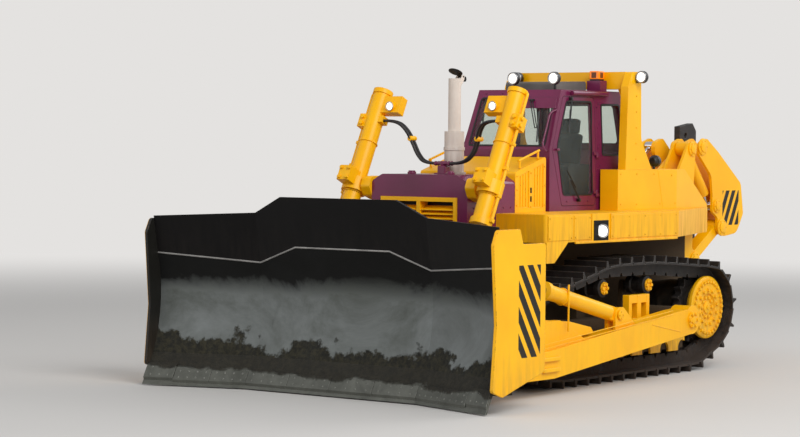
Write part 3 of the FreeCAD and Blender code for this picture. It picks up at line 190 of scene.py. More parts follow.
def stripedColour(tree, axes, colour, stripes):
    # slanted dark bands inside an upright field on the outer faces
    mask = reckon(tree, "GREATER_THAN", reckon(tree, "ABSOLUTE", axes["Y"]), stripes["beyondY"])
    for axis in "XZ":
        mask = reckon(tree, "MULTIPLY", mask, within(tree, axes[axis], *stripes[axis]))
    slant = reckon(tree, "MULTIPLY_ADD", axes["X"], stripes["slope"], axes["Z"])
    slant = reckon(tree, "MULTIPLY_ADD", slant, 1 / stripes["period"], 100 + stripes["shift"])
    band = reckon(tree, "LESS_THAN", reckon(tree, "FRACT", slant), stripes["share"])
    return mixColour(tree, reckon(tree, "MULTIPLY", mask, band), colour, stripes["dark"])


# the innerShade colour is painted shade for inner faces between parts
paintUsual = {"edge": 0.006, "wear": 0.5, "dust": 0.5, "dustHeights": (1.6, 0.1), "dustColour": "#6B5A48", "cover": 0.0,
              "specks": 0.15, "coat": 0.0, "gloss": 0.3, "innerShade": "#1C1B18"}


def paintMaterial(name, look):
    # enamel sprayed on rolled plate: even gloss, fine orange peel, chipped edges, dust low down and in streaks
    look = {**paintUsual, **look}
    material, tree, place = startMaterial(name)
    axes = addNode(tree, "SeparateXYZ", {0: place}).outputs
    soft, edge = wornEdge(tree, look["edge"])
    tone = remap(tree, addNoise(tree, place, 1.1, 4, 0.6), 0.35, 0.7)
    colour = mixColour(tree, tone, look["base"], look["shade"])
    if "stripes" in look:
        colour = stripedColour(tree, axes, colour, look["stripes"])
    if "innerShadeWithin" in look:
        # painted shade: between these distances across the machine, on the inner faces between the parts, the enamel is
        # painted dark
        colour = mixColour(tree, within(tree, axes["Y"], *look["innerShadeWithin"]), colour, look["innerShade"])
    crumbs = addNoise(tree, place, 30, 5, 0.6)
    chips = reckon(tree, "MULTIPLY", edge, remap(tree, crumbs, 0.50, 0.62, 0, look["wear"]))
    colour = mixColour(tree, chips, colour, look["under"])
    rise = remap(tree, axes["Z"], *look["dustHeights"], 0, look["dust"])
    streaks = remap(tree, addNoise(tree, stretched(tree, place, (9, 9, 1.1)), 1.3, 7, 0.65), 0.38, 0.72)
    streaks = reckon(tree, "MAXIMUM", streaks, look["cover"])
    specks = remap(tree, crumbs, 0.62, 0.80, 0, look["specks"])
    dust = reckon(tree, "ADD", reckon(tree, "MULTIPLY", rise, streaks), specks)
    colour = mixColour(tree, dust, colour, look["dustColour"])
    rough = remap(tree, dust, 0, 1, look["rough"], 0.85)
    peel = addBump(tree, addNoise(tree, place, 80, 3), 0.08, 0.002, Normal=soft)
    endMaterial(tree, addNode(tree, "BsdfPrincipled", {
        "Base Color": colour, "Roughness": rough, "Normal": peel, "IOR": 1.5, "Coat Weight": look["coat"],
        "Coat Roughness": 0.2, "Specular IOR Level": look["gloss"]}))
    return material


steelUsual = {"edge": 0.006, "wear": 0.4, "rub": (3, 3, 3), "metal": 0.9, "gloss": 0.5, "blotch": 2.0,
              "soil": 0.9, "soilHeights": (1.5, 0.0), "soilLow": 0.6, "soilSpread": 0.6, "soilFrom": 0.55, "soilEdge": 0.14}


def steelMaterial(name, look):
    # bare, rolled or cast steel: patches from light to dark, bright rubbed edges, and soil caked over it low down
    look = {**steelUsual, "soilDark": look["soilColour"], **look}
    material, tree, place = startMaterial(name)
    height = addNode(tree, "SeparateXYZ", {0: place}).outputs["Z"]
    soft, edge = wornEdge(tree, look["edge"])
    tone = remap(tree, addNoise(tree, stretched(tree, place, look["rub"]), 1.0, 8, 0.7, 0.6), 0.32, 0.68)
    colour = mixColour(tree, tone, look["base"], look["shade"])
    colour = mixColour(tree, reckon(tree, "MULTIPLY", edge, look["wear"]), colour, look["bright"])
    rise = remap(tree, height, *look["soilHeights"], 0, look["soilLow"])
    blotch = addNoise(tree, place, look["blotch"], 6, 0.6)
    cake = reckon(tree, "MULTIPLY_ADD", blotch, look["soilSpread"], rise)
    soil = remap(tree, cake, look["soilFrom"], look["soilFrom"] + look["soilEdge"], 0, look["soil"])
    if "darkHeights" in look:
        # the rolled top of the curl, where spoil sticks and no light falls
        curl = reckon(tree, "MULTIPLY_ADD", tone, -0.22, height)
        colour = mixColour(tree, remap(tree, curl, *look["darkHeights"], 0, 0.97), colour, "#080706")
    lumps = remap(tree, addNoise(tree, place, 14, 8, 0.75), 0.42, 0.60)
    earth = mixColour(tree, lumps, look["soilDark"], look["soilColour"])
    colour = mixColour(tree, soil, colour, earth)
    rough = remap(tree, soil, 0, 1, look["rough"], 0.95)
    metal = remap(tree, soil, 0, 1, look["metal"], 0)
    crumbs = reckon(tree, "MULTIPLY", addNoise(tree, place, 33, 6, 0.7), soil)
    bump = addBump(tree, crumbs, 0.9, 0.025, Normal=soft)
    endMaterial(tree, addNode(tree, "BsdfPrincipled", {
        "Base Color": colour, "Metallic": metal, "Roughness": rough, "Normal": bump, "Specular IOR Level": look["gloss"]}))
    return material


plainUsual = {"grain": 250, "blotch": 4, "bump": 0.2, "metal": 0.0, "glow": 0.0}


def plainMaterial(name, look):
    # moulded, turned or dyed goods: one colour with a fine grain
    look = {**plainUsual, **look}
    material, tree, place = startMaterial(name)
    grain = addNoise(tree, place, look["grain"], 3)
    tone = remap(tree, addNoise(tree, place, look["blotch"], 3), 0.3, 0.75)
    colour = mixColour(tree, tone, look["base"], look["shade"])
    low = look["rough"] - 0.05
    endMaterial(tree, addNode(tree, "BsdfPrincipled", {
        "Base Color": colour, "Roughness": remap(tree, grain, 0, 1, low, low + 0.13), "Metallic": look["metal"],
        "Normal": addBump(tree, grain, look["bump"], 0.001), "Emission Color": look["base"], "Emission Strength": look["glow"]}))
    return material


def glassMaterial(name, tint, rough):
    # laminated sheet glass: a thin green-grey body that is seen through, with a dusty film
    material, tree, place = startMaterial(name)
    film = remap(tree, addNoise(tree, place, 2.5, 5), 0.35, 0.8, 0.01, 0.05)
    clear = addNode(tree, "BsdfTransparent", {"Color": tint})
    gloss = addNode(tree, "BsdfPrincipled", {"Base Color": "#AEB6B2", "Roughness": rough, "IOR": 1.5})
    facing = addNode(tree, "LayerWeight", {"Blend": 0.25}).outputs["Facing"]
    share = reckon(tree, "MULTIPLY_ADD", facing, 0.16, film)
    endMaterial(tree, addNode(tree, "MixShader", {0: share, 1: clear.outputs[0], 2: gloss.outputs[0]}))
    return material


# enamels: the yellow by how dusty its place is, striped plates, the cab's purple and the dark ones
yellow = {"base": "#FFBE00", "shade": "#F8B000", "under": "#5A3A22", "rough": 0.36, "dust": 0.14, "specks": 0.05}
lowDust = {**yellow, "dust": 0.75, "dustHeights": (1.4, 0.2), "specks": 0.16, "wear": 0.8}
hazard = {"dark": "#1B1710", "share": 0.60}
yellowEnamel = paintMaterial("yellowEnamelOnPlate", yellow)
yellowStreaked = paintMaterial("yellowEnamelStreaked", {
    **yellow, "dust": 0.55, "dustHeights": (2.45, 1.85), "specks": 0.12, "wear": 0.9, "dustColour": "#A8732C"})
yellowDusty = paintMaterial("yellowEnamelDusty", {**lowDust, "rough": 0.45})
yellowCaked = paintMaterial("yellowEnamelCaked", {
    **yellow, "dust": 1.0, "cover": 0.97, "dustHeights": (1.95, 1.80), "dustColour": "#2A231E", "specks": 0.3,
    "wear": 0.9, "rough": 0.5})
# the final drives' inner part, towards the hull, is painted dark as painted shade
driveEnamel = paintMaterial("yellowEnamelDrive", {**lowDust, "innerShadeWithin": (-1.37, 1.37)})
bladeSideEnamel = paintMaterial("stripedEnamelBlade", {
    **yellow, "wear": 1.0, "edge": 0.014, "specks": 0.10, "dust": 0.5, "dustHeights": (0.9, 0.05),
    # the end plates' inner faces, towards the blade, are painted dark as painted shade
    "innerShadeWithin": (-2.636, 2.603),
    "stripes": {**hazard, "X": (3.700, 4.140), "Z": (0.610, 1.660), "beyondY": 2.630, "slope": -1.55, "period": 0.30, "shift": 0.0}})
ripperEnamel = paintMaterial("stripedEnamelRipper", {
    **yellow, "wear": 0.8, "dust": 0.4, "dustHeights": (1.9, 1.2),
    "stripes": {**hazard, "X": (-4.500, -4.030), "Z": (1.880, 2.380), "beyondY": 0.595, "slope": 1.85, "period": 0.32, "shift": 0.05}})
purpleEnamel = paintMaterial("purpleEnamelOnPlate", {
    "base": "#75214C", "shade": "#641A3E", "under": "#2A2326", "rough": 0.26, "dust": 0.12, "specks": 0.03, "coat": 0.4,
    "dustHeights": (2.3, 1.7), "wear": 0.35})
greyEnamel = paintMaterial("greyEnamelRoof", {
    "base": "#6F6B67", "shade": "#5C5854", "under": "#3A3733", "rough": 0.5, "dust": 0.2})
# black enamel for the latches, flap and spill plate, and painted shade as the sheet in the fender lamps' recesses
blackEnamelAndShade = paintMaterial("blackPlateEnamelAndShade", {
    "base": "#0C0A0A", "shade": "#070606", "under": "#55504C", "rough": 0.40, "dust": 0.22, "dustHeights": (2.2, 1.4),
    "specks": 0.03, "wear": 0.6, "dustColour": "#3A332E", "gloss": 0.15})
engineEnamel = paintMaterial("darkEnamelEngine", {
    "base": "#2B2B2D", "shade": "#1D1D1F", "under": "#55524E", "rough": 0.5, "dust": 0.5})
exhaustEnamel = paintMaterial("heatStainedExhaust", {
    "base": "#E2D8CE", "shade": "#C6B6A8", "under": "#6B5548", "rough": 0.62, "dust": 0.6, "dustHeights": (3.3, 2.7),
    "dustColour": "#8A6F5C", "specks": 0.2})

# steels: scoured by spoil, worn by the ground, packed with soil, turned or plated
moldSteel = steelMaterial("moldboardScouredSteel", {
    "base": "#7F8382", "shade": "#50534E", "bright": "#BFC1BD", "rough": 0.50, "metal": 0.25, "rub": (1.2, 0.7, 1.0),
    "soilColour": "#353020", "soilDark": "#17140D", "soilHeights": (0.98, 0.25), "soilLow": 0.50, "soilFrom": 0.62,
    "soilSpread": 0.70, "soilEdge": 0.035, "blotch": 2.4, "darkHeights": (1.04, 1.24), "gloss": 0.15})
edgeSteel = steelMaterial("cuttingEdgeWornSteel", {
    "base": "#62635B", "shade": "#42433C", "bright": "#B4B4AC", "rough": 0.45, "metal": 0.3, "wear": 0.6,
    "soilColour": "#2A2519", "soilDark": "#171309", "soilFrom": 0.60, "soilHeights": (0.08, 0.36), "soilEdge": 0.05})
trackSteel = steelMaterial("trackForgedSteel", {
    "base": "#332E2B", "shade": "#191614", "bright": "#8C8680", "rough": 0.55, "metal": 0.3, "rub": (9, 9, 9),
    "soilColour": "#3A2E25", "soilFrom": 0.42, "blotch": 6, "soilLow": 0.3, "wear": 0.7})
pinSteel = steelMaterial("turnedPinSteel", {
    "base": "#8C8A88", "shade": "#6A6866", "bright": "#C8C8C8", "rough": 0.35, "soilColour": "#4A3E33", "soilFrom": 0.62})
chromeRod = steelMaterial("hardChromeRod", {
    "base": "#D8D8DA", "shade": "#C6C6C9", "bright": "#FFFFFF", "rough": 0.12, "metal": 1.0, "soilColour": "#6B6258",
    "soilFrom": 0.75, "soil": 0.4})

# moulded, woven, ground and plated small things
weldSteel = plainMaterial("groundWeldBead", {
    "base": "#A9A6A2", "shade": "#7E7B78", "rough": 0.45, "metal": 0.6, "grain": 170, "bump": 0.8})
rubberSeal = plainMaterial("extrudedRubberSeal", {"base": "#141314", "shade": "#1D1B1C", "rough": 0.6})
hoseRubber = plainMaterial("braidedHydraulicHose", {
    "base": "#1A1819", "shade": "#262223", "rough": 0.55, "grain": 170, "bump": 0.6})
seatFabric = plainMaterial("wovenSeatFabric", {"base": "#141316", "shade": "#1E1D21", "rough": 0.85, "bump": 0.6})
controlPlastic = plainMaterial("mouldedControlPlastic", {"base": "#202124", "shade": "#2A2B2E", "rough": 0.5})
lampPlastic = plainMaterial("mouldedLampHousing", {"base": "#171717", "shade": "#222222", "rough": 0.4})
lampLens = plainMaterial("litLampLens", {"base": "#FFFDF6", "shade": "#F1F0EA", "rough": 0.15, "grain": 60, "glow": 0.8})
lampRim = plainMaterial("chromedLampRim", {"base": "#B9B9BB", "shade": "#8E8E90", "rough": 0.2, "metal": 0.9})
beaconAmber = plainMaterial("amberBeaconLens", {
    "base": "#F98312", "shade": "#E0690A", "rough": 0.2, "grain": 60, "glow": 0.35})
beaconBrown = plainMaterial("beaconReflectorPlastic", {"base": "#7A3E12", "shade": "#5C2C0C", "rough": 0.4})
cabGlass = glassMaterial("laminatedCabGlass", "#F3F6F3", 0.05)
print("stage: materials")


# finish the CAD nodes

finishes = [
    (yellowStreaked, "fenders cowl"),
    (yellowEnamel, "rops_arch fuel_tank handrails cylinder_brackets lift_barrel_left lift_barrel_right grille "
                   "ripper_mount ripper_arm ripper_lift_barrels ripper_tilt_barrels push_arm_left push_arm_right "
                   "brace_barrels"),
    (driveEnamel, "final_drives"),
    (yellowDusty, "roller_guards"),
    (yellowCaked, "main_frame idlers roller_frames"),
    (bladeSideEnamel, "blade_sides"),
    (ripperEnamel, "ripper_beam"),
    (purpleEnamel, "hood cab_shell door_left door_right hose_fittings"),
    (engineEnamel, "engine_block seat_base"),
    (exhaustEnamel, "exhaust_stack"),
    (blackEnamelAndShade, "exhaust_flap spill_plate"),
    (lampPlastic, "work_lamps"),
    (cabGlass, "cab_glass door_glass_left door_glass_right"),
    (seatFabric, "seat_cushions"),
    (controlPlastic, "controls"),
    (greyEnamel, "roof_unit"),
    (trackSteel, "track_left track_right track_rollers carrier_rollers sprockets ripper_shank"),
    (pinSteel, "ripper_pins"),
    (moldSteel, "moldboard"),
    (edgeSteel, "cutting_edge"),
    (chromeRod, "brace_rods lift_rod_left lift_rod_right ripper_lift_rods ripper_tilt_rods"),
]
for material, names in finishes:
    for name in names.split():
        nodes[name].data.materials.clear()
        nodes[name].data.materials.append(material)
for hose in hosePieces:
    hose.data.materials.append(hoseRubber)
print("stage: CAD nodes finished")


# modelling: small tools

def deselect():
    bpy.ops.object.select_all(action="DESELECT")


def activate(piece):
    deselect()
    piece.select_set(True)
    bpy.context.view_layer.objects.active = piece


def bakePlace(piece):
    activate(piece)
    bpy.ops.object.transform_apply(location=True, rotation=True, scale=True)
    return piece


def enterEdit(piece):
    activate(piece)
    bpy.ops.object.mode_set(mode="EDIT")
    bpy.ops.mesh.select_all(action="SELECT")


def leaveEdit():
    bpy.ops.object.mode_set(mode="OBJECT")


def turnOut():
    bpy.ops.mesh.select_all(action="SELECT")
    bpy.ops.mesh.normals_make_consistent(inside=False)


def pickFaces(piece, test):
    # into edit mode, with the faces chosen by their middle and normal
    enterEdit(piece)
    bpy.ops.mesh.select_mode(type="FACE")
    bpy.ops.mesh.select_all(action="DESELECT")
    mesh = bmesh.from_edit_mesh(piece.data)
    for face in mesh.faces:
        face.select = test(face.calc_center_median(), face.normal)
    mesh.select_flush_mode()
    bmesh.update_edit_mesh(piece.data)


def bevelAll(piece, width, segments=2):
    enterEdit(piece)
    bpy.ops.mesh.bevel(offset=width, segments=segments, affect="EDGES")
    leaveEdit()


def addBlock(low, high, edge=0.004, segments=2):
    deselect()
    bpy.ops.mesh.primitive_cube_add(size=1, location=[(a + b) / 2 for a, b in zip(low, high)])
    block = bpy.context.object
    block.scale = [b - a for a, b in zip(low, high)]
    bakePlace(block)
    if edge:
        bevelAll(block, edge, segments)
    return block


def sideBlock(side, spanX, spanY, spanZ, edge=0.004, segments=2):
    # a block on one side of the machine; its y span counts outwards from the middle
    y1, y2 = sorted((side * spanY[0], side * spanY[1]))
    return addBlock((spanX[0], y1, spanZ[0]), (spanX[1], y2, spanZ[1]), edge, segments)


def addRound(start, end, radius, edge=0.004, sides=32, tip=None):
    # a turned piece between two points, its rims chamfered; tip is the far end's radius
    deselect()
    start, end = Vector(start), Vector(end)
    path = end - start
    bpy.ops.mesh.primitive_cone_add(vertices=sides, radius1=radius, radius2=radius if tip is None else tip,
                                    depth=path.length, location=(start + end) / 2,
                                    rotation=path.to_track_quat("Z", "Y").to_euler())
    piece = bakePlace(bpy.context.object)
    along = path.normalized()
    if edge:
        pickFaces(piece, lambda middle, normal: abs(normal.dot(along)) > 0.9)
        bpy.ops.mesh.region_to_loop()
        bpy.ops.mesh.bevel(offset=edge, segments=2, affect="EDGES")
        leaveEdit()
    activate(piece)
    bpy.ops.object.shade_smooth_by_angle(angle=0.7)
    return piece


def addHub(side, place, low, high, radius, edge=0.004, sides=32):
    # a turned disc that faces out sideways, between two distances from the middle
    x, z = place
    return addRound((x, side * low, z), (x, side * high, z), radius, edge, sides)


def addFlat(points, placeOf):
    # one face along an outline, open for editing; placeOf turns (u, v) into a place
    mesh = bpy.data.meshes.new("flat")
    mesh.from_pydata([placeOf(u, v) for u, v in points], [], [list(range(len(points)))])
    flat = addObject("flat", mesh)
    enterEdit(flat)
    return flat


def addPlate(points, placeOf, thick, edge=0.003):
    # a flat outline pushed out to its thickness, which is the way out
    plate = addFlat(points, placeOf)
    bpy.ops.mesh.extrude_region_move(TRANSFORM_OT_translate={"value": thick})
    turnOut()
    if edge:
        bpy.ops.mesh.bevel(offset=edge, segments=2, affect="EDGES")
    leaveEdit()
    return plate


def roundedOutline(points, radius, steps=4):
    # the same outline with each corner turned into a short curve
    made = []
    count = len(points)
    for number, here in enumerate(points):
        here = Vector(here)
        before, after = Vector(points[number - 1]), Vector(points[(number + 1) % count])
        reach = min(radius, 0.4 * (here - before).length, 0.4 * (after - here).length)
        a, b = here + (before - here).normalized() * reach, here + (after - here).normalized() * reach
        for step in range(steps + 1):
            t = step / steps
            made.append(a * (1 - t) ** 2 + here * 2 * t * (1 - t) + b * t ** 2)
    return made


def addRing(points, placeOf, width, thick, radius=0.05):
    # a flat frame along an outline: its face is inset, the middle taken out and the rest pushed out
    ring = addFlat(roundedOutline(points, radius), placeOf)
    bpy.ops.mesh.inset(thickness=width)
    bpy.ops.mesh.delete(type="FACE")
    bpy.ops.mesh.select_all(action="SELECT")
    bpy.ops.mesh.extrude_region_move(TRANSFORM_OT_translate={"value": thick})
    turnOut()
    leaveEdit()
    bpy.ops.object.shade_smooth_by_angle(angle=0.6)
    return ring


def addTube(points, radius, sides=12, bend=0.5):
    # a bent pipe: a poly line with rounded corners, given a round section
    curve = bpy.data.curves.new("tube", "CURVE")
    curve.dimensions = "3D"
    curve.bevel_depth = radius
    curve.bevel_resolution = max(1, sides // 4)
    curve.use_fill_caps = True
    curve.resolution_u = 6
    spline = curve.splines.new("BEZIER")
    places = [Vector(p) for p in points]
    stops = [(places[0], None)]
    for before, here, after in zip(places, places[1:], places[2:]):
        reach = min(bend * radius * 10, 0.45 * (here - before).length, 0.45 * (after - here).length)
        stops.append((here + (before - here).normalized() * reach, here))
        stops.append((here + (after - here).normalized() * reach, here))
    stops.append((places[-1], None))
    spline.bezier_points.add(len(stops) - 1)
    for point, (place, corner) in zip(spline.bezier_points, stops):
        point.co = place
        point.handle_left_type = point.handle_right_type = "VECTOR"
    for number, (place, corner) in enumerate(stops):
        if corner is None:
            continue
        point = spline.bezier_points[number]
        point.handle_left_type = point.handle_right_type = "FREE"
        pull = place + (corner - place) * 0.56
        other = place - (corner - place) * 0.3
        point.handle_left, point.handle_right = (other, pull) if number % 2 else (pull, other)
    activate(addObject("tube", curve))
    bpy.ops.object.convert(target="MESH")
    bpy.ops.object.shade_smooth_by_angle(angle=0.7)
    return bpy.context.object


def addTorus(middle, axis, radius, thick):
    deselect()
    turn = Vector(axis).to_track_quat("Z", "Y").to_euler()
    bpy.ops.mesh.primitive_torus_add(major_radius=radius, minor_radius=thick, major_segments=36, minor_segments=8,
                                     location=middle, rotation=turn)
    piece = bakePlace(bpy.context.object)
    bpy.ops.object.shade_smooth()
    return piece


def copyPiece(piece):
    twin = piece.copy()
    twin.data = piece.data.copy()
    bpy.context.scene.collection.objects.link(twin)
    return twin


def mirror(piece):
    # to the machine's other side, with its faces turned out again
    piece.data.transform(Matrix.Scale(-1, 4, (0, 1, 0)))
    piece.data.flip_normals()
    return piece


def combine(parts):
    deselect()
    for part in parts:
        part.select_set(True)
    bpy.context.view_layer.objects.active = parts[0]
    if len(parts) > 1:
        bpy.ops.object.join()
    return bpy.context.object


def seatPiece(name, parts, body, material):
    # joins the parts into one piece, names it, and gives it its finish and body
    piece = combine(parts)
    bakePlace(piece)
    piece.name = name
    piece.data.materials.clear()
    piece.data.materials.append(material)
    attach(piece, body)
    return piece


def makeBolt(size):
    # a hexagon head with a chamfered top on its washer, standing on z = 0
    made = []
    for vertices, wide, tall, up in ((14, 1.25, 0.25, 0.125), (6, 1, 0.7, 0.55)):
        deselect()
        bpy.ops.mesh.primitive_cylinder_add(vertices=vertices, radius=size * wide, depth=size * tall,
                                            location=(0, 0, size * up))
        made.append(bakePlace(bpy.context.object))
    pickFaces(made[1], lambda middle, normal: normal.z > 0.9)
    bpy.ops.mesh.inset(thickness=size * 0.14, depth=size * 0.10)
    leaveEdit()
    return combine(made)


def boltRow(bolt, spots, axis):
    # copies of one bolt on the given spots, heads towards the axis
    turn = Vector(axis).to_track_quat("Z", "Y").to_matrix().to_4x4()
    made = []
    for spot in spots:
        twin = copyPiece(bolt)
        twin.data.transform(Matrix.Translation(spot) @ turn)
        made.append(twin)
    return made


def ringSpots(middle, radius, count, start=0.0):
    # spots on an upright circle that faces sideways
    x, y, z = middle
    angles = [start + 2 * math.pi * number / count for number in range(count)]
    return [(x + radius * math.cos(angle), y, z + radius * math.sin(angle)) for angle in angles]


def sideBolts(bolt, side, spots):
    # bolts on upright faces that look sideways; the spots are those of the left side
    return boltRow(bolt, [(x, side * y, z) for x, y, z in spots], (0, side, 0))


def boltedCap(side, place, face, cap):
    # a cap on a side face, between two heights over it, and the bolts on its top
    x, z = place
    top = face + cap["top"]
    parts = [addHub(side, place, face - cap["sunk"], top, cap["radius"], cap["edge"])]
    return parts + sideBolts(headBolt, side, ringSpots((x, top - 0.002, z), cap["circle"], 6))


# undercarriage

running = {
    "headBolt": 0.024, "smallBolt": 0.009,
    "sprocket": (-2.100, 0.830), "boltRings": ((1.492, 0.350, 30, 0.0), (1.492, 0.235, 13, 0.1), (1.467, 0.135, 10, 0.0)),
    "hubDiscs": ((1.467, 1.483, 0.085, 0.006, 32), (1.481, 1.497, 0.028, 0.004, 6)),
    "idler": (1.919, 0.640), "idlerFace": 1.450,
    "idlerCap": {"sunk": 0.002, "top": 0.022, "radius": 0.085, "circle": 0.058, "edge": 0.006},
    "guide": ((1.499, 1.819), (1.446, 1.466), (0.620, 0.690)),
    "carriers": ((0.400, 1.190), (-0.680, 1.190)), "carrierFace": 1.399,
    "carrierCap": {"sunk": 0.003, "top": 0.012, "radius": 0.084, "circle": 0.056, "edge": 0.006},
}
headBolt = makeBolt(running["headBolt"])
smallBolt = makeBolt(running["smallBolt"])


def makeRunningTrim(side, word):
    x, z = running["sprocket"]
    parts = []
    for face, radius, count, start in running["boltRings"]:
        parts += sideBolts(headBolt, side, ringSpots((x, face, z), radius, count, start))
    parts += [addHub(side, (x, z), *disc) for disc in running["hubDiscs"]]
    seatPiece("sprocketBolts_" + word, parts, "tractor", yellowDusty)
    parts = boltedCap(side, running["idler"], running["idlerFace"], running["idlerCap"])
    parts.append(sideBlock(side, *running["guide"], 0.006))
    seatPiece("idlerCap_" + word, parts, "tractor", yellowDusty)
    parts = []
    for place in running["carriers"]:
        parts += boltedCap(side, place, running["carrierFace"], running["carrierCap"])
    seatPiece("carrierCaps_" + word, parts, "tractor", yellowDusty)


for side, word in flanks:
    makeRunningTrim(side, word)
print("stage: undercarriage trim")


# blade: bolted edge segments with an end bit on each side, and the seam's weld

blade = {
    "foldY": 1.300, "halfWidth": 2.600, "forward": 0.430,
    "arc": ((4.090, 0.400), (3.955, 1.000), (4.010, 1.650)), "top": (4.150, 2.400),
    "foot": (4.290, 0.015), "lean": 0.461, "rise": 0.887,
    "gap": 0.006, "stops": (0, 0.650, 1.300, 1.760, 2.220), "end": 2.598, "lip": 0.03, "sunk": 0.002,
    "segment": {"up": (0.04, 0.235), "thick": 0.022}, "segmentBolts": ((0.14, 0.38, 0.62, 0.86), (0.105, 0.185)),
    "bit": {"up": (0.06, 0.290), "thick": 0.026}, "bitBolts": ((2.30, 2.41, 2.52), (0.13, 0.23)),
    "seam": ((0.0, 1.750), (0.720, 1.750), (1.300, 1.545), (2.600, 1.640)),
    "seamSteps": 10, "seamOut": 0.003, "seamShort": 0.004, "bead": 0.011,
}


def wingX(y):
    return blade["forward"] * max(0, abs(y) - blade["foldY"]) / (blade["halfWidth"] - blade["foldY"])


def bladeFace(z):
    # the scoured face's distance ahead at a height: the arc through the same three points as the solid
    (x1, z1), (x2, z2), (x3, z3) = blade["arc"]
    topX, topZ = blade["top"]
    if z > z3:
        return x3 + (topX - x3) * (z - z3) / (topZ - z3)
    a, b, c = (z - z2) * (z - z3), (z - z1) * (z - z3), (z - z1) * (z - z2)
    return x1 * a / ((z1 - z2) * (z1 - z3)) + x2 * b / ((z2 - z1) * (z2 - z3)) + x3 * c / ((z3 - z1) * (z3 - z2))


def edgePoint(y, up, out):
    # on the cutting edge's sloping face: up along the slope, out from it
    (x, z), lean, rise = blade["foot"], blade["lean"], blade["rise"]
    return Vector((x + wingX(y) - lean * up + rise * out, y, z + rise * up + lean * out))


def shapedBlock(placeOf, edge=0.004):
    # a block whose corners, each 0 or 1 along three sides, go where placeOf says
    block = addBlock((0, 0, 0), (1, 1, 1), 0)
    for vertex in block.data.vertices:
        vertex.co = placeOf(*vertex.co)
    bevelAll(block, edge)
    enterEdit(block)
    turnOut()
    leaveEdit()
    return block


def edgeSegment(yLow, yHigh, form):
    # one bolt-on segment: a block laid on the slope, with a ground lower lip
    upLow, upHigh = form["up"]

    def corner(a, b, c):
        lip = blade["lip"] if c < 0.5 < a else 0
        return edgePoint(yLow + b * (yHigh - yLow), upLow + c * (upHigh - upLow) + lip, a * form["thick"])
    return shapedBlock(corner)


def edgeBolts(form, spots):
    out = form["thick"] - blade["sunk"]
    return boltRow(smallBolt, [edgePoint(y, up, out) for y, up in spots], (blade["rise"], 0, blade["lean"]))


def makeCuttingEdge():
    gap, stops = blade["gap"], blade["stops"]
    segment, bit = blade["segment"], blade["bit"]
    parts = []
    for side, word in flanks:
        for near, far in zip(stops, stops[1:]):
            low, high = sorted((side * (near + gap / 2), side * (far - gap / 2)))
            parts.append(edgeSegment(low, high, segment))
            shares, ups = blade["segmentBolts"]
            parts += edgeBolts(segment, [(low + share * (high - low), up) for share in shares for up in ups])
        low, high = sorted((side * (stops[-1] + gap / 2), side * blade["end"]))
        parts.append(edgeSegment(low, high, bit))
        places, ups = blade["bitBolts"]
        parts += edgeBolts(bit, [(side * y, up) for y in places for up in ups])
    seatPiece("cuttingEdgeSegments", parts, "blade", edgeSteel)


def makeSeamWeld():
    # the weld between the scoured face and the spill plate, a bead along the seam
    corners = [(-y, z) for y, z in reversed(blade["seam"])] + list(blade["seam"][1:])
    shares = [step / blade["seamSteps"] for step in range(blade["seamSteps"])]
    line = []
    for (y1, z1), (y2, z2) in zip(corners, corners[1:]):
        line += [(y1 + (y2 - y1) * share, z1 + (z2 - z1) * share) for share in shares]
    line.append(corners[-1])
    line = [Vector((bladeFace(z) + wingX(y) + blade["seamOut"], y, z)) for y, z in line]
    line[0].y += blade["seamShort"]
    line[-1].y -= blade["seamShort"]
    seatPiece("seamWeld", [addTube(line, blade["bead"], 8, 0)], "blade", weldSteel)


makeCuttingEdge()
makeSeamWeld()
print("stage: blade")


# cab: seals, wipers, rails and bolts

cab = {
    "half": 0.690, "knee": 2.960, "top": 3.740, "roofHalf": 0.650,
    "frontKnee": 0.620, "frontTop": 0.300, "rearKnee": -1.300, "rearTop": -1.150,
    "windscreen": [(-0.612, 2.998), (0.612, 2.998), (0.582, 3.642), (-0.582, 3.642)],
    "rearWindow": [(-0.572, 3.028), (0.572, 3.028), (0.542, 3.572), (-0.542, 3.572)],
    "sideWindow": [(-1.142, 2.878), (-0.633, 2.878), (-0.633, 3.572), (-1.098, 3.572), (-1.212, 2.985)],
    "doorWindow": [(-0.417, 2.358), (0.300, 2.358), (0.447, 3.000), (0.194, 3.602), (-0.417, 3.602)],
    "seal": 0.022, "sealThick": 0.010, "doorRound": 0.06, "sunk": 0.004,
}


def lean(z):
    # 0 at the knee of the cab's walls, 1 at their top
    return (z - cab["knee"]) / (cab["top"] - cab["knee"])


def sideY(z, out=0.0):
    return cab["half"] - max(0, lean(z)) * (cab["half"] - cab["roofHalf"]) + out


def frontX(z, out=0.0):
    return cab["frontKnee"] - lean(z) * (cab["frontKnee"] - cab["frontTop"]) + out


def onSide(x, z, out=-cab["sunk"]):
    return (x, sideY(z, out), z)


def onFront(y, z, out=-cab["sunk"]):
    return (frontX(z, out), y, z)


def onRear(y, z):
    return (cab["rearKnee"] + lean(z) * (cab["rearTop"] - cab["rearKnee"]) + cab["sunk"], y, z)


def makeSeals():
    wide, out = cab["seal"], cab["sealThick"]
    side = addRing(cab["sideWindow"], onSide, wide, (0, out, 0))
    parts = [addRing(cab["windscreen"], onFront, wide, (out, 0, 0)), addRing(cab["rearWindow"], onRear, wide, (-out, 0, 0)),
             side, mirror(copyPiece(side))]
    seatPiece("windowSeals", parts, "tractor", rubberSeal)
    door = addRing(cab["doorWindow"], onSide, wide, (0, out, 0), cab["doorRound"])
    other = mirror(copyPiece(door))
    seatPiece("doorSeal_left", [door], "door_left", rubberSeal)
    seatPiece("doorSeal_right", [other], "door_right", rubberSeal)


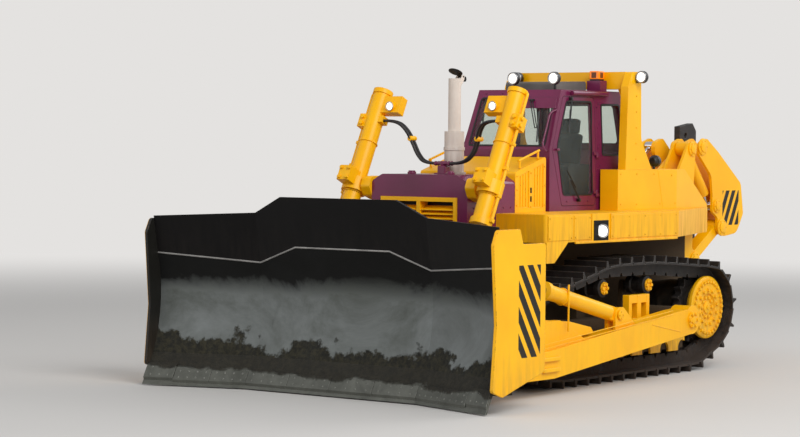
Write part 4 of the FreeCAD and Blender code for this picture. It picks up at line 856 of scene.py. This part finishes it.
# places on the glass's wall, across and up; out is how far each part stands off the wall
wiper = {
    "pivot": (0.270, 3.600), "elbow": (0.440, 3.240), "blade": ((0.405, 3.450), (0.480, 3.060)), "spread": 0.035,
    "out": {"boss": (0.004, 0.060), "pivot": 0.045, "elbow": 0.040, "blade": 0.026, "link": 0.022},
    "arm": 0.007, "boss": 0.016, "bladeRound": 0.011, "link": 0.006,
}
doorWiper = {
    "pairs": ({"pivot": (0.100, 3.625), "elbow": (0.160, 3.330), "blade": ((0.130, 3.480), (0.175, 3.190))},
              {"pivot": (-0.060, 2.300), "elbow": (0.150, 2.560), "blade": ((0.020, 2.470), (0.240, 2.700))}),
    "out": {"boss": (-0.002, 0.050), "pivot": 0.038, "elbow": 0.034, "blade": 0.020, "link": (0.036, 0.018)},
    "spread": 0.022, "arm": 0.006, "boss": 0.022, "bladeRound": 0.010,
}


def makeFrontWiper():
    def spot(place, out, aside=0.0):
        return onFront(place[0] - aside, place[1], out)
    pivot, elbow, spread, out = wiper["pivot"], wiper["elbow"], wiper["spread"], wiper["out"]
    parts = []
    for aside in (0, spread):
        parts.append(addTube([spot(pivot, out["pivot"], aside), spot(elbow, out["elbow"], aside)], wiper["arm"], 8))
        low, high = [spot(pivot, stand, aside) for stand in out["boss"]]
        parts.append(addRound(low, high, wiper["boss"], 0.003, 16))
    parts.append(addTube([spot(end, out["blade"]) for end in wiper["blade"]], wiper["bladeRound"], 8))
    link = [spot(elbow, out["elbow"], spread), spot(elbow, out["elbow"]), spot(elbow, out["link"])]
    parts.append(addTube(link, wiper["link"], 8, 0))
    seatPiece("frontWiper", parts, "tractor", lampPlastic)


def makeDoorWipers(side, word):
    out, arm, spread = doorWiper["out"], doorWiper["arm"], doorWiper["spread"]
    parts = []
    for pair in doorWiper["pairs"]:
        (x1, z1), (x2, z2) = pair["pivot"], pair["elbow"]
        for aside in (0, spread):
            parts.append(addTube([onSide(x1 + aside, z1, out["pivot"]), onSide(x2 + aside, z2, out["elbow"])], arm, 8))
        low, high = [onSide(x1 + spread / 2, z1, stand) for stand in out["boss"]]
        parts.append(addRound(low, high, doorWiper["boss"], 0.003, 16))
        parts.append(addTube([onSide(x, z, out["blade"]) for x, z in pair["blade"]], doorWiper["bladeRound"], 8))
        middle = [sum(values) / 2 for values in zip(*pair["blade"])]
        parts.append(addTube([onSide(x2, z2, out["link"][0]), onSide(*middle, out["link"][1])], arm, 8))
    if side < 0:
        parts = [mirror(part) for part in parts]
    seatPiece("doorWipers_" + word, parts, "door_" + word, lampPlastic)


trim = {
    "cover": [(0.020, 3.495), (0.635, 3.495), (0.625, 3.640), (0.020, 3.640)], "coverThick": 0.016,
    "gutter": [(0.100, 0.690, 3.700), (-0.740, 0.690, 3.700)], "gutterRound": 0.030,
    "grabRail": [(0.400, 0.655, 3.475), (0.475, 0.600, 3.440), (0.685, 0.618, 3.010), (0.690, 0.690, 2.930)],
    "railRound": 0.014, "handle": ((0.420, 0.490), (0.694, 0.724), (2.945, 2.975)),
    "postRows": ((-0.540, 0.0), (-0.585, 0.05)), "postBolts": (2.420, 2.700, 2.980, 3.250, 3.520),
    "browBolts": (-0.52, -0.26, 0.0), "browZ": 3.69, "browOut": (0.925, 0, 0.38),
    "sillBolts": (-0.300, -0.050, 0.200), "sillY": 0.690, "sillZ": 2.285,
}


def makeCabTrim():
    parts = [addPlate(trim["cover"], onFront, (trim["coverThick"], 0, 0), 0.004)]
    for side, word in flanks:
        parts.append(addTube([(x, side * y, z) for x, y, z in trim["gutter"]], trim["gutterRound"], 16))
        for x, up in trim["postRows"]:
            parts += sideBolts(smallBolt, side, [(x, sideY(z + up), z + up) for z in trim["postBolts"]])
    parts.append(addTube(trim["grabRail"], trim["railRound"], 12, 0.6))
    z = trim["browZ"]
    parts += boltRow(smallBolt, [(frontX(z), y, z) for y in trim["browBolts"]], trim["browOut"])
    seatPiece("cabTrim", parts, "tractor", purpleEnamel)
    for side, word in flanks:
        parts = [sideBlock(1, *trim["handle"], 0.006)]
        parts += sideBolts(smallBolt, 1, [(x, trim["sillY"], trim["sillZ"]) for x in trim["sillBolts"]])
        if side < 0:
            parts = [mirror(part) for part in parts]
        seatPiece("doorHandle_" + word, parts, "door_" + word, purpleEnamel)


makeSeals()
makeFrontWiper()
for side, word in flanks:
    makeDoorWipers(side, word)
makeCabTrim()
print("stage: cab trim")


# lamps: the middle of each lens, the way it looks, and its radius

lamps = {
    "spots": (((0.240, -0.160, 3.890), (1, 0, 0), 0.085), ((0.240, 0.480, 3.890), (1, 0, 0), 0.085),
              ((-0.950, 1.090, 3.930), (1, 0, 0), 0.082), ((-0.770, -0.790, 3.925), (1, 0, 0), 0.082),
              ((-1.760, 0.850, 2.810), (-1, 0, 0), 0.080), ((0.655, 1.535, 1.935), (0.500, 0.866, 0), 0.092),
              ((0.655, -1.535, 1.935), (0.500, -0.866, 0), 0.092)),
    "stems": (((0.190, -0.160, 3.741), (0.190, -0.160, 3.820)), ((0.190, 0.480, 3.741), (0.190, 0.480, 3.820)),
              ((-1.000, 0.995, 3.870), (-1.000, 1.060, 3.870)), ((-1.700, 0.850, 2.701), (-1.700, 0.850, 2.750))),
    "stem": 0.018, "drumBack": 0.060, "coneFrom": 0.058, "coneBack": 0.108,
    "onBarrel": (2.074, 0.800, 3.495), "barrelRadius": 0.062,
    "recess": ((0.470, 0.810), (1.498, 1.508), (1.790, 2.070)),
}
beacon = {"low": (-0.855, 0.430, 3.880), "high": (-0.705, 0.580, 4.010), "foot": 0.024, "inset": 0.006, "window": 0.042,
          "windowUp": 0.010, "windowOut": 0.001}


def lampFront(face, ahead, radius):
    # a domed lens inside its rim
    face, ahead = Vector(face), Vector(ahead)
    lens = addRound(face - 0.004 * ahead, face + 0.004 * ahead, radius * 0.86, 0, 32, radius * 0.70)
    rim = addTorus(face + 0.001 * ahead, ahead, radius * 0.90, radius * 0.085)
    return lens, rim


def makeLamps():
    lenses, rims, drums = [], [], []
    for face, ahead, radius in lamps["spots"]:
        lens, rim = lampFront(face, ahead, radius)
        lenses.append(lens)
        rims.append(rim)
        face, ahead = Vector(face), Vector(ahead)
        drums.append(addRound(face, face - lamps["drumBack"] * ahead, radius, 0.003))
        low, high = face - lamps["coneFrom"] * ahead, face - lamps["coneBack"] * ahead
        drums.append(addRound(low, high, radius * 0.98, 0.012, 32, radius * 0.62))
    drums += [addRound(low, high, lamps["stem"], 0.003, 16) for low, high in lamps["stems"]]
    (x1, y1, z1), (x2, y2, z2) = beacon["low"], beacon["high"]
    inset = beacon["inset"]
    drums.append(addBlock((x1 + inset, y1 + inset, z1), (x2 - inset, y2 - inset, z1 + beacon["foot"])))
    housings = seatPiece("lampDrums", drums, "tractor", lampPlastic)
    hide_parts("work_lamps")
    seatPiece("lampLenses", lenses, "tractor", lampLens)
    seatPiece("lampRims", rims, "tractor", lampRim)
    x, y, z = lamps["onBarrel"]
    for side, word in flanks:
        lens, rim = lampFront((x, y * side, z), (1, 0, 0), lamps["barrelRadius"])
        seatPiece("barrelLampLens_" + word, [lens], "lift_barrel_" + word, lampLens)
        seatPiece("barrelLampRim_" + word, [rim], "lift_barrel_" + word, lampRim)
    # a black sheet in each fender lamp's recess: painted shade in place of the dark hollow
    back = [sideBlock(side, *lamps["recess"]) for side, word in flanks]
    seatPiece("lampRecessShade", back, "tractor", blackEnamelAndShade)


def makeBeacon():
    # a square amber lens with a reflector seen through each side
    low, high = Vector(beacon["low"]), Vector(beacon["high"])
    middle = (low + high) / 2 + Vector((0, 0, beacon["windowUp"]))
    lens = addBlock(low + Vector((0, 0, beacon["foot"] - 0.004)), high, 0.014, 3)
    seatPiece("beaconDome", [lens], "tractor", beaconAmber)
    back = []
    for axis in (0, 1):
        half = Vector((beacon["window"],) * 3)
        half[axis] = (high[axis] - low[axis]) / 2 + beacon["windowOut"]
        back.append(addBlock(middle - half, middle + half, 0.006))
    seatPiece("beaconReflector", back, "tractor", beaconBrown)


makeLamps()
makeBeacon()
print("stage: lamps")


# fender plates, cowl fittings, tank

fenderPlates = {
    "face": 1.500, "sunk": 0.004, "z": (1.835, 2.140), "spans": ((1.300, 1.850), (0.880, 1.270), (-1.230, 0.400)),
    "thick": 0.008, "inset": 0.030, "boltStep": 0.4,
    "strips": (((-1.230, 1.250), (1.785, 1.815), 0.022, 0.006), ((0.860, 0.874), (1.835, 2.155), 0.016, 0.003),
               ((0.410, 0.424), (1.835, 2.155), 0.016, 0.003)),
}


def makeFenderPlates():
    face, inset = fenderPlates["face"], fenderPlates["inset"]
    low, high = fenderPlates["z"]
    plateY = (face - fenderPlates["sunk"], face + fenderPlates["thick"])
    parts = []
    for side, word in flanks:
        for x1, x2 in fenderPlates["spans"]:
            parts.append(sideBlock(side, (x1, x2), plateY, (low, high), 0.003))
            gaps = max(2, round((x2 - x1) / fenderPlates["boltStep"]) + 1) - 1
            across = [x1 + inset + (x2 - x1 - 2 * inset) * number / gaps for number in range(gaps + 1)]
            parts += sideBolts(smallBolt, side, [(x, plateY[1], z) for x in across for z in (low + inset, high - inset)])
        for spanX, spanZ, out, edge in fenderPlates["strips"]:
            parts.append(sideBlock(side, spanX, (plateY[0], face + out), spanZ, edge))
    seatPiece("fenderPlates", parts, "tractor", yellowStreaked)


cowlTrim = {
    "face": 0.745, "latches": ((1.118, 2.440), (1.118, 2.330)), "latchHalf": (0.015, 0.035), "latchY": (0.743, 0.751),
    "bolts": ((0.805, 2.25), (0.805, 2.50), (0.805, 2.74), (1.118, 2.23), (1.118, 2.66), (1.432, 2.25), (1.432, 2.45),
              (1.432, 2.62)),
    "ribs": (0.895, 0.955, 1.015, 1.220, 1.280, 1.340), "ribHalf": 0.006, "ribY": (0.732, 0.741), "ribFoot": 2.235,
    "ribTop": (0.78, 2.785), "slope": 0.2 / 0.69,
}


def makeCowlTrim():
    parts, dark = [], []
    half, (startX, startZ) = cowlTrim["ribHalf"], cowlTrim["ribTop"]
    wide, tall = cowlTrim["latchHalf"]
    for side, word in flanks:
        parts += sideBolts(smallBolt, side, [(x, cowlTrim["face"], z) for x, z in cowlTrim["bolts"]])
        for x in cowlTrim["ribs"]:
            top = startZ - (x - startX) * cowlTrim["slope"]
            parts.append(sideBlock(side, (x - half, x + half), cowlTrim["ribY"], (cowlTrim["ribFoot"], top), 0.002, 1))
        for x, z in cowlTrim["latches"]:
            dark.append(sideBlock(side, (x - wide, x + wide), cowlTrim["latchY"], (z - tall, z + tall), 0.003))
    seatPiece("cowlTrim", parts, "tractor", yellowStreaked)
    seatPiece("cowlLatches", dark, "tractor", blackEnamelAndShade)


tankTrim = {
    "caps": ((-1.350, 0.850), (-1.350, -0.850)), "seam": ((-1.560, 0.999, 2.700), (-1.700, 0.999, 2.175)), "seamRound": 0.005,
    "bolts": ((-0.62, 2.64), (-0.62, 2.24), (-1.02, 2.64), (-1.02, 2.24), (-1.46, 2.64), (-1.62, 2.24), (-1.92, 2.62),
              (-2.02, 2.24)), "face": 1.000,
    "archBolts": (2.84, 3.05, 3.26, 3.47, 3.68), "archX": -1.000, "archY": 0.995,
}


def makeTankTrim():
    parts = []
    for x, y in tankTrim["caps"]:
        parts.append(addRound((x, y, 2.698), (x, y, 2.735), 0.075, 0.006))
        parts.append(addRound((x, y, 2.733), (x, y, 2.752), 0.062, 0.006, 8))
    for side, word in flanks:
        parts.append(addTube([(x, side * y, z) for x, y, z in tankTrim["seam"]], tankTrim["seamRound"], 8))
        parts += sideBolts(smallBolt, side, [(x, tankTrim["face"], z) for x, z in tankTrim["bolts"]])
        parts += sideBolts(smallBolt, side, [(tankTrim["archX"], tankTrim["archY"], z) for z in tankTrim["archBolts"]])
    seatPiece("tankTrim", parts, "tractor", yellowEnamel)


makeFenderPlates()
makeCowlTrim()
makeTankTrim()
print("stage: fender, cowl and tank trim")


# push arms: trunnion caps, the lips along the arm, pin heads, stay, hose ring, gusset and stops

pushArm = {
    "face": 1.980, "trunnion": (-0.850, 0.750),
    "cap": {"sunk": 0.004, "top": 0.020, "radius": 0.110, "circle": 0.086, "edge": 0.008}, "hub": (1.996, 2.014, 0.055, 0.006),
    "lip": ((-0.350, 0.905), (3.560, 0.560)), "lipDrops": (0.012, 0.060), "rearLip": ((0.160, 0.740), (-0.560, 0.610)),
    "lipRound": 0.006, "pin": (0.860, 0.900), "pinHead": (1.938, 1.958, 0.062, 0.006), "pinBolts": (1.957, 0.040, 4),
    "stay": (2.060, 0.760), "stayTop": 1.330, "stayY": 1.950, "stayRound": 0.012,
    "ring": (2.060, 1.850, 1.180), "ringAxis": (0.974, 0, 0.226), "ringSize": (0.096, 0.014),
    "gusset": [(2.450, 0.620), (2.450, 0.915), (1.900, 0.870), (1.420, 0.775), (1.350, 0.700)], "gussetY": 1.850,
    "gussetHalf": 0.015, "stopX": (2.320, 2.680), "stopY": (1.976, 2.020), "stopZ": ((0.300, 0.350), (0.430, 0.480)),
}


def makePushArmTrim(side, word):
    parts = boltedCap(side, pushArm["trunnion"], pushArm["face"], pushArm["cap"])
    parts.append(addHub(side, pushArm["trunnion"], *pushArm["hub"]))
    seatPiece("pushArmCap_" + word, parts, "blade", yellowEnamel)


def makeArmEdges(side, word):
    y = side * pushArm["face"]
    (x1, z1), (x2, z2) = pushArm["lip"]
    parts = [addTube([(x1, y, z1 - drop), (x2, y, z2 - drop)], pushArm["lipRound"], 8) for drop in pushArm["lipDrops"]]
    x, z = pushArm["pin"]
    parts.append(addHub(side, (x, z), *pushArm["pinHead"]))
    face, circle, count = pushArm["pinBolts"]
    parts += sideBolts(smallBolt, side, ringSpots((x, face, z), circle, count))
    x, z = pushArm["stay"]
    stayY = side * pushArm["stayY"]
    parts.append(addRound((x, stayY, z), (x, stayY, pushArm["stayTop"]), pushArm["stayRound"], 0.002, 12))
    x, ringY, z = pushArm["ring"]
    parts.append(addTorus((x, side * ringY, z), pushArm["ringAxis"], *pushArm["ringSize"]))
    parts.append(addTube([(x, y, z) for x, z in pushArm["rearLip"]], pushArm["lipRound"], 8))
    start, half = side * pushArm["gussetY"] - pushArm["gussetHalf"], pushArm["gussetHalf"]
    parts.append(addPlate(pushArm["gusset"], lambda x, z: (x, start, z), (0, 2 * half, 0), 0.004))
    parts += [sideBlock(side, pushArm["stopX"], pushArm["stopY"], spanZ, 0.008) for spanZ in pushArm["stopZ"]]
    seatPiece("pushArmEdges_" + word, parts, "blade", yellowEnamel)


for side, word in flanks:
    makePushArmTrim(side, word)
    makeArmEdges(side, word)
print("stage: push arm trim")


# lift cylinders: bolts, the pipe along the barrel, hexagon plugs and clamps; places along and across the barrel's line

lift = {
    "pivot": (2.450, 2.480), "down": (0.4317, -0.9020), "front": (0.9020, 0.4317), "y": 1.050, "barrel": 0.115,
    "yokeBolts": ((-0.125, 0.005), 0.280, (-0.060, 0.060)), "headRing": (-1.339, 0.100, 10, 0.2),
    "pipe": ((-1.300, 1.150), (-1.300, 1.205), (-1.240, 1.205), (-0.970, 1.205)), "pipeRound": 0.020,
    "plugs": (-0.935, -0.845),
    "plugForms": (((0.085, 1.175), (0.122, 1.175), 0.030), ((-0.085, 1.175), (-0.115, 1.175), 0.026),
                  ((0.030, 1.238), (0.030, 1.268), 0.026)),
    "clamps": (-0.60, 0.10), "clampRound": 0.010, "clampOut": 0.004,
    "clampBlock": ((-0.02, 0.04), (-0.030, 0.06), (1.150, 0.076)),
}


def onLift(along, across, y):
    (px, pz), (dx, dz), (fx, fz) = lift["pivot"], lift["down"], lift["front"]
    return (px + along * dx + across * fx, y, pz + along * dz + across * fz)


def makeLiftTrim(side, word):
    down = (lift["down"][0], 0, lift["down"][1])
    front = (lift["front"][0], 0, lift["front"][1])
    y = lift["y"] * side
    alongs, across, asides = lift["yokeBolts"]
    parts = boltRow(headBolt, [onLift(along, across, y + aside) for along in alongs for aside in asides], front)
    along, radius, count, start = lift["headRing"]
    ring = [onLift(along, spotX, y + spotZ) for spotX, _, spotZ in ringSpots((0, 0, 0), radius, count, start)]
    parts += boltRow(smallBolt, ring, (-down[0], 0, -down[2]))
    parts.append(addTube([onLift(along, 0, side * out) for along, out in lift["pipe"]], lift["pipeRound"], 12, 0.4))
    for along in lift["plugs"]:
        for (low, lowY), (high, highY), radius in lift["plugForms"]:
            parts.append(addRound(onLift(along, low, side * lowY), onLift(along, high, side * highY), radius, 0.004, 6))
    (low, long), (foot, tall), (start, wide) = lift["clampBlock"]
    for along in lift["clamps"]:
        parts.append(addTorus(onLift(along, 0, y), down, lift["barrel"] + lift["clampOut"], lift["clampRound"]))
        parts.append(shapedBlock(lambda a, c, b: onLift(along + low + long * a, foot + tall * c, side * (start + wide * b))))
    seatPiece("liftTrim_" + word, parts, "lift_barrel_" + word, yellowEnamel)


for side, word in flanks:
    makeLiftTrim(side, word)
print("stage: lift cylinder trim")


# hood: caps on its top and bolts along its foot

hoodTrim = {
    "caps": ((2.250, 0.300, 0.055), (2.250, -0.300, 0.055), (1.600, 0.420, 0.050)), "top": 2.640,
    "bolts": [(1.56 + number * 0.16, 0.740, 2.230) for number in range(6)],
}


def makeHoodTrim():
    z = hoodTrim["top"]
    parts = []
    for x, y, radius in hoodTrim["caps"]:
        parts.append(addRound((x, y, z - 0.003), (x, y, z + 0.028), radius, 0.006))
        parts.append(addRound((x, y, z + 0.026), (x, y, z + 0.044), radius * 0.8, 0.006, 12))
    for side, word in flanks:
        parts += sideBolts(smallBolt, side, hoodTrim["bolts"])
    seatPiece("hoodTrim", parts, "tractor", purpleEnamel)


makeHoodTrim()
print("stage: hood trim")


# where the hoses meet: two pipes across with collars, on a low foot, and a clamp around each pair

manifold = {
    "x": (1.950, 2.010), "z": 2.775, "half": 0.1195, "pipe": 0.020, "collar": 0.029, "collarLong": 0.034, "collarNear": -0.030,
    "post": (2.740, 2.805, 0.026),
    "foot": (((1.920, -0.060, 2.640), (2.040, 0.060, 2.745), 0.012), ((1.905, -0.100, 2.640), (2.055, 0.100, 2.655), 0.004)),
    "clamp": ((1.893, 2.017), 0.520, 3.085, 0.033),
}


def makeManifold():
    z, half, long = manifold["z"], manifold["half"], manifold["collarLong"]
    postLow, postHigh, postRadius = manifold["post"]
    parts = [addBlock(*block) for block in manifold["foot"]]
    for x in manifold["x"]:
        parts.append(addRound((x, -half, z), (x, half, z), manifold["pipe"], 0.002, 20))
        for y in (-half, manifold["collarNear"], half - long):
            parts.append(addRound((x, y, z), (x, y + long, z), manifold["collar"], 0.004, 6))
        parts.append(addRound((x, 0, postLow), (x, 0, postHigh), postRadius, 0.004, 20))
    piece = seatPiece("hoseManifold", parts, "tractor", purpleEnamel)
    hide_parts("hose_fittings")
    (x1, x2), y, z, radius = manifold["clamp"]
    clamps = [addRound((x1, side * y, z), (x2, side * y, z), radius, 0.005, 16) for side, word in flanks]
    seatPiece("hoseClamps", clamps, "tractor", yellowEnamel)


# the shank's head stands ahead of its pocket, with a lifting hole through it

shank = {
    "outline": [(-4.1997, 3.240), (-4.100, 3.350), (-3.740, 3.300), (-3.740, 2.680), (-3.9803, 2.600), (-3.9803, 1.420),
                (-3.930, 1.120), (-3.760, 0.850), (-3.540, 0.650), (-3.690, 0.620), (-3.900, 0.680), (-4.060, 0.830),
                (-4.160, 1.050), (-4.1997, 1.350)],
    "half": 0.050, "hole": (-3.900, 3.170, 0.042), "through": 0.1,
}


def cutAway(piece, cutter):
    activate(piece)
    cut = piece.modifiers.new("cut", "BOOLEAN")
    cut.operation = "DIFFERENCE"
    cut.solver = "EXACT"
    cut.object = cutter
    bpy.ops.object.modifier_apply(modifier="cut")
    bpy.data.objects.remove(cutter)


def makeShank():
    half, through = shank["half"], shank["through"]
    plate = addPlate(shank["outline"], lambda x, z: (x, -half, z), (0, 2 * half, 0), 0.006)
    x, z, radius = shank["hole"]
    cutAway(plate, addRound((x, -through, z), (x, through, z), radius, 0, 24))
    piece = seatPiece("ripperShank", [plate], "ripper_beam", trackSteel)
    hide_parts("ripper_shank")


# the cab's windscreen is one wide pane: its opening is cut through the shell, and the panes ahead give way to it

screen = {
    "opening": [(-0.600, 3.010), (0.600, 3.010), (0.570, 3.630), (-0.570, 3.630)], "round": 0.050,
    "cutX": 0.250, "cutDeep": 0.600, "pane": 0.008, "inside": 0.032,
}


def makeWindscreen():
    shell = copyPiece(nodes["cab_shell"])
    outline = [tuple(spot) for spot in roundedOutline(screen["opening"], screen["round"])]
    cutAway(shell, addPlate(outline, lambda y, z: (screen["cutX"], y, z), (screen["cutDeep"], 0, 0), 0))
    shell.name = "cabShellWide"
    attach(shell, "tractor")
    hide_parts("cab_shell")
    panes = copyPiece(nodes["cab_glass"])
    pickFaces(panes, lambda middle, normal: middle.x > 0)
    bpy.ops.mesh.delete(type="FACE")
    leaveEdit()
    pane = addPlate(outline, lambda y, z: onFront(y, z, -screen["inside"]), (screen["pane"], 0, 0), 0)
    piece = seatPiece("cabGlassWide", [panes, pane], "tractor", cabGlass)
    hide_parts("cab_glass")


makeManifold()
makeShank()
makeWindscreen()
print("stage: manifold, shank and windscreen")


# seat: a crowned cushion and a tall back, swollen by a short cloth run and then sewn with piping

seat = {
    "cushion": ((-0.690, -0.270, 2.535), (-0.130, 0.270, 2.665), 0.040),
    "back": ((-0.815, -0.245, 2.680), (-0.665, 0.245, 3.190), 0.045),
    "head": ((-0.860, -0.150, 3.205), (-0.745, 0.150, 3.400), 0.035),
    "hinge": (-0.680, 0, 2.650), "tilt": 0.165, "voxel": 0.007, "pressure": 4, "frames": 12, "cap": 0.018,
    "pipe": 0.006, "pipeIn": 0.012, "pipeDown": 0.03, "seam": 0.004, "seamIn": 0.13, "seamEnd": 0.05,
}


def swell(pad):
    # cloth pressure for a few frames; no point moves further than the cap
    before = [vertex.co.copy() for vertex in pad.data.vertices]
    cloth = pad.modifiers.new("cloth", "CLOTH")
    cloth.settings.use_pressure = True
    cloth.settings.uniform_pressure_force = seat["pressure"]
    cloth.settings.effector_weights.gravity = 0
    cloth.point_cache.frame_end = seat["frames"]
    for number in range(1, seat["frames"] + 1):
        bpy.context.scene.frame_set(number)
    swollen = pad.evaluated_get(bpy.context.evaluated_depsgraph_get()).to_mesh()
    after = [vertex.co.copy() for vertex in swollen.vertices]
    pad.modifiers.remove(cloth)
    for vertex, old, new in zip(pad.data.vertices, before, after):
        move = new - old
        if move.length > seat["cap"]:
            move *= seat["cap"] / move.length
        vertex.co = old + move
    bpy.context.scene.frame_set(1)


def padBlock(low, high, edge):
    pad = addBlock(low, high, edge, 4)
    activate(pad)
    remesh = pad.modifiers.new("remesh", "REMESH")
    remesh.mode = "VOXEL"
    remesh.voxel_size = seat["voxel"]
    bpy.ops.object.modifier_apply(modifier="remesh")
    swell(pad)
    activate(pad)
    bpy.ops.object.shade_smooth()
    return pad


def makeSeat():
    pads = [padBlock(*seat[name]) for name in ("cushion", "back", "head")]
    (x1, y1, _), (x2, y2, top), _ = seat["cushion"]
    inset, z = seat["pipeIn"], top - seat["pipeDown"]
    loop = [(x1 + inset, y1 + inset, z), (x2 - inset, y1 + inset, z), (x2 - inset, y2 - inset, z), (x1 + inset, y2 - inset, z)]
    pads.append(addTube(loop + [loop[0]], seat["pipe"], 8))
    (_, y1, z1), (x, y2, z2), _ = seat["back"]
    x, end = x + seat["seam"], seat["seamEnd"]
    for y in (y1 + seat["seamIn"], y2 - seat["seamIn"]):
        pads.append(addTube([(x, y, z1 + end), (x, y, z2 - end)], seat["seam"], 8))
    hinge = Matrix.Translation(seat["hinge"])
    tilt = hinge @ Matrix.Rotation(-seat["tilt"], 4, "Y") @ hinge.inverted()
    for pad in pads[1:3] + pads[4:]:
        pad.data.transform(tilt)
    piece = seatPiece("operatorSeat", pads, "tractor", seatFabric)
    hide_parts("seat_cushions")


makeSeat()
print("stage: seat")


# the step bracket with two slots on each roller frame

bracket = {
    "x": (-0.330, 0.170), "y": (1.540, 1.640), "z": (0.700, 1.100), "slots": ((-0.255, -0.130), (-0.030, 0.095)),
    "slotZ": (0.800, 0.990), "inset": 0.004, "join": 0.002,
}


def makeStepBrackets():
    (x1, x2), (y1, y2), (z1, z2) = bracket["x"], bracket["y"], bracket["z"]
    (slotFoot, slotTop), inset, join = bracket["slotZ"], bracket["inset"], bracket["join"]
    stops = [x1] + [x for slot in bracket["slots"] for x in slot] + [x2]
    parts = []
    for side, word in flanks:
        for spanX in zip(stops[0::2], stops[1::2]):
            parts.append(sideBlock(side, spanX, (y1, y2), (z1, z2), 0.006))
        for low, high in ((z1, slotFoot), (slotTop, z2)):
            parts.append(sideBlock(side, (x1 + inset, x2 - inset), (y1 + inset, y2 - inset), (low + join, high - join)))
    seatPiece("stepBrackets", parts, "tractor", yellowEnamel)


makeStepBrackets()
print("stage: step brackets")


# ripper: a raised boss with a ring of bolts on each outer pin

ripper = {
    "mountPins": ((-3.150, 2.980, 0.105), (-3.250, 1.400, 0.120)), "mountOut": 0.020,
    "beamPins": ((-3.860, 2.160, 0.095), (-3.430, 3.010, 0.120), (-4.000, 1.850, 0.125)), "beamOut": 0.022,
    "face": 0.600, "sunk": 0.002, "hubOut": 0.014, "hubShare": 0.62, "circleShare": 0.80,
}


def bossRings(spots, side, out):
    face, sunk = ripper["face"], ripper["sunk"]
    parts = []
    for x, z, radius in spots:
        top = face + out
        parts.append(addHub(side, (x, z), face - sunk, top, radius, 0.006))
        parts.append(addHub(side, (x, z), top - sunk, top + ripper["hubOut"], radius * ripper["hubShare"], 0.006))
        parts += sideBolts(smallBolt, side, ringSpots((x, top, z), radius * ripper["circleShare"], 6))
    return parts


def makeRipperTrim():
    mount, beam = [], []
    for side, word in flanks:
        mount += bossRings(ripper["mountPins"], side, ripper["mountOut"])
        beam += bossRings(ripper["beamPins"], side, ripper["beamOut"])
    seatPiece("ripperMountTrim", mount, "tractor", yellowEnamel)
    seatPiece("ripperBeamTrim", beam, "ripper_beam", yellowEnamel)


makeRipperTrim()
for spare in (headBolt, smallBolt):
    bpy.data.objects.remove(spare)
print("stage: ripper trim")


# floor, light and backdrop

studio = {
    "floor": "#C9C6C2", "back": "#E4E2E0", "sky": "#EDEFF2", "skyStrength": 0.62, "wide": 600, "near": 13, "far": 34,
    "lamps": (("keyLight", (10, 18, 16), (0, 0, 1.5), 14, 3600), ("fillLight", (18, -12, 9), (2, 0, 1), 12, 500),
              ("backLight", (-14, 8, 12), (0, 0, 2), 12, 1100)),
}


def makeFloor():
    # matt studio paper that runs into the backdrop with distance
    deselect()
    bpy.ops.mesh.primitive_plane_add(size=studio["wide"], location=(0, 0, 0))
    floor = bpy.context.object
    floor.name = "floor"
    material, tree, place = startMaterial("paleStudioFloor")
    paper = addNode(tree, "BsdfPrincipled", {"Base Color": studio["floor"], "Roughness": 0.9})
    back = addNode(tree, "Emission", {"Color": studio["back"], "Strength": 1.0})
    away = addNode(tree, "VectorMath", {0: place}, operation="LENGTH").outputs["Value"]
    away = addNode(tree, "MapRange", {"Value": away, "From Min": studio["near"], "From Max": studio["far"]},
                   interpolation_type="SMOOTHSTEP").outputs["Result"]
    endMaterial(tree, addNode(tree, "MixShader", {0: away, 1: paper.outputs[0], 2: back.outputs[0]}))
    floor.data.materials.append(material)


def makeWorld():
    # an even sky lights the piece, and the camera sees the plain backdrop
    world = bpy.data.worlds.new("studio")
    bpy.context.scene.world = world
    world.use_nodes = True
    tree = world.node_tree
    tree.nodes.clear()
    rays = addNode(tree, "LightPath").outputs
    seen = reckon(tree, "MAXIMUM", rays["Is Camera Ray"], rays["Is Transmission Ray"])
    sky = addNode(tree, "Background", {"Color": studio["sky"], "Strength": studio["skyStrength"]})
    backdrop = addNode(tree, "Background", {"Color": studio["back"], "Strength": 1.0})
    mixed = addNode(tree, "MixShader", {0: seen, 1: sky.outputs[0], 2: backdrop.outputs[0]})
    tree.links.new(mixed.outputs[0], addNode(tree, "OutputWorld").inputs["Surface"])


def makeLights():
    for name, at, aim, size, power in studio["lamps"]:
        lamp = addObject(name, bpy.data.lights.new(name, "AREA"))
        lamp.data.size = size
        lamp.data.energy = power
        lamp.location = at
        lamp.rotation_euler = (Vector(aim) - Vector(at)).to_track_quat("-Z", "Y").to_euler()


makeFloor()
makeWorld()
makeLights()
bpy.context.scene.view_settings.view_transform = "Standard"
print("stage: floor and light")
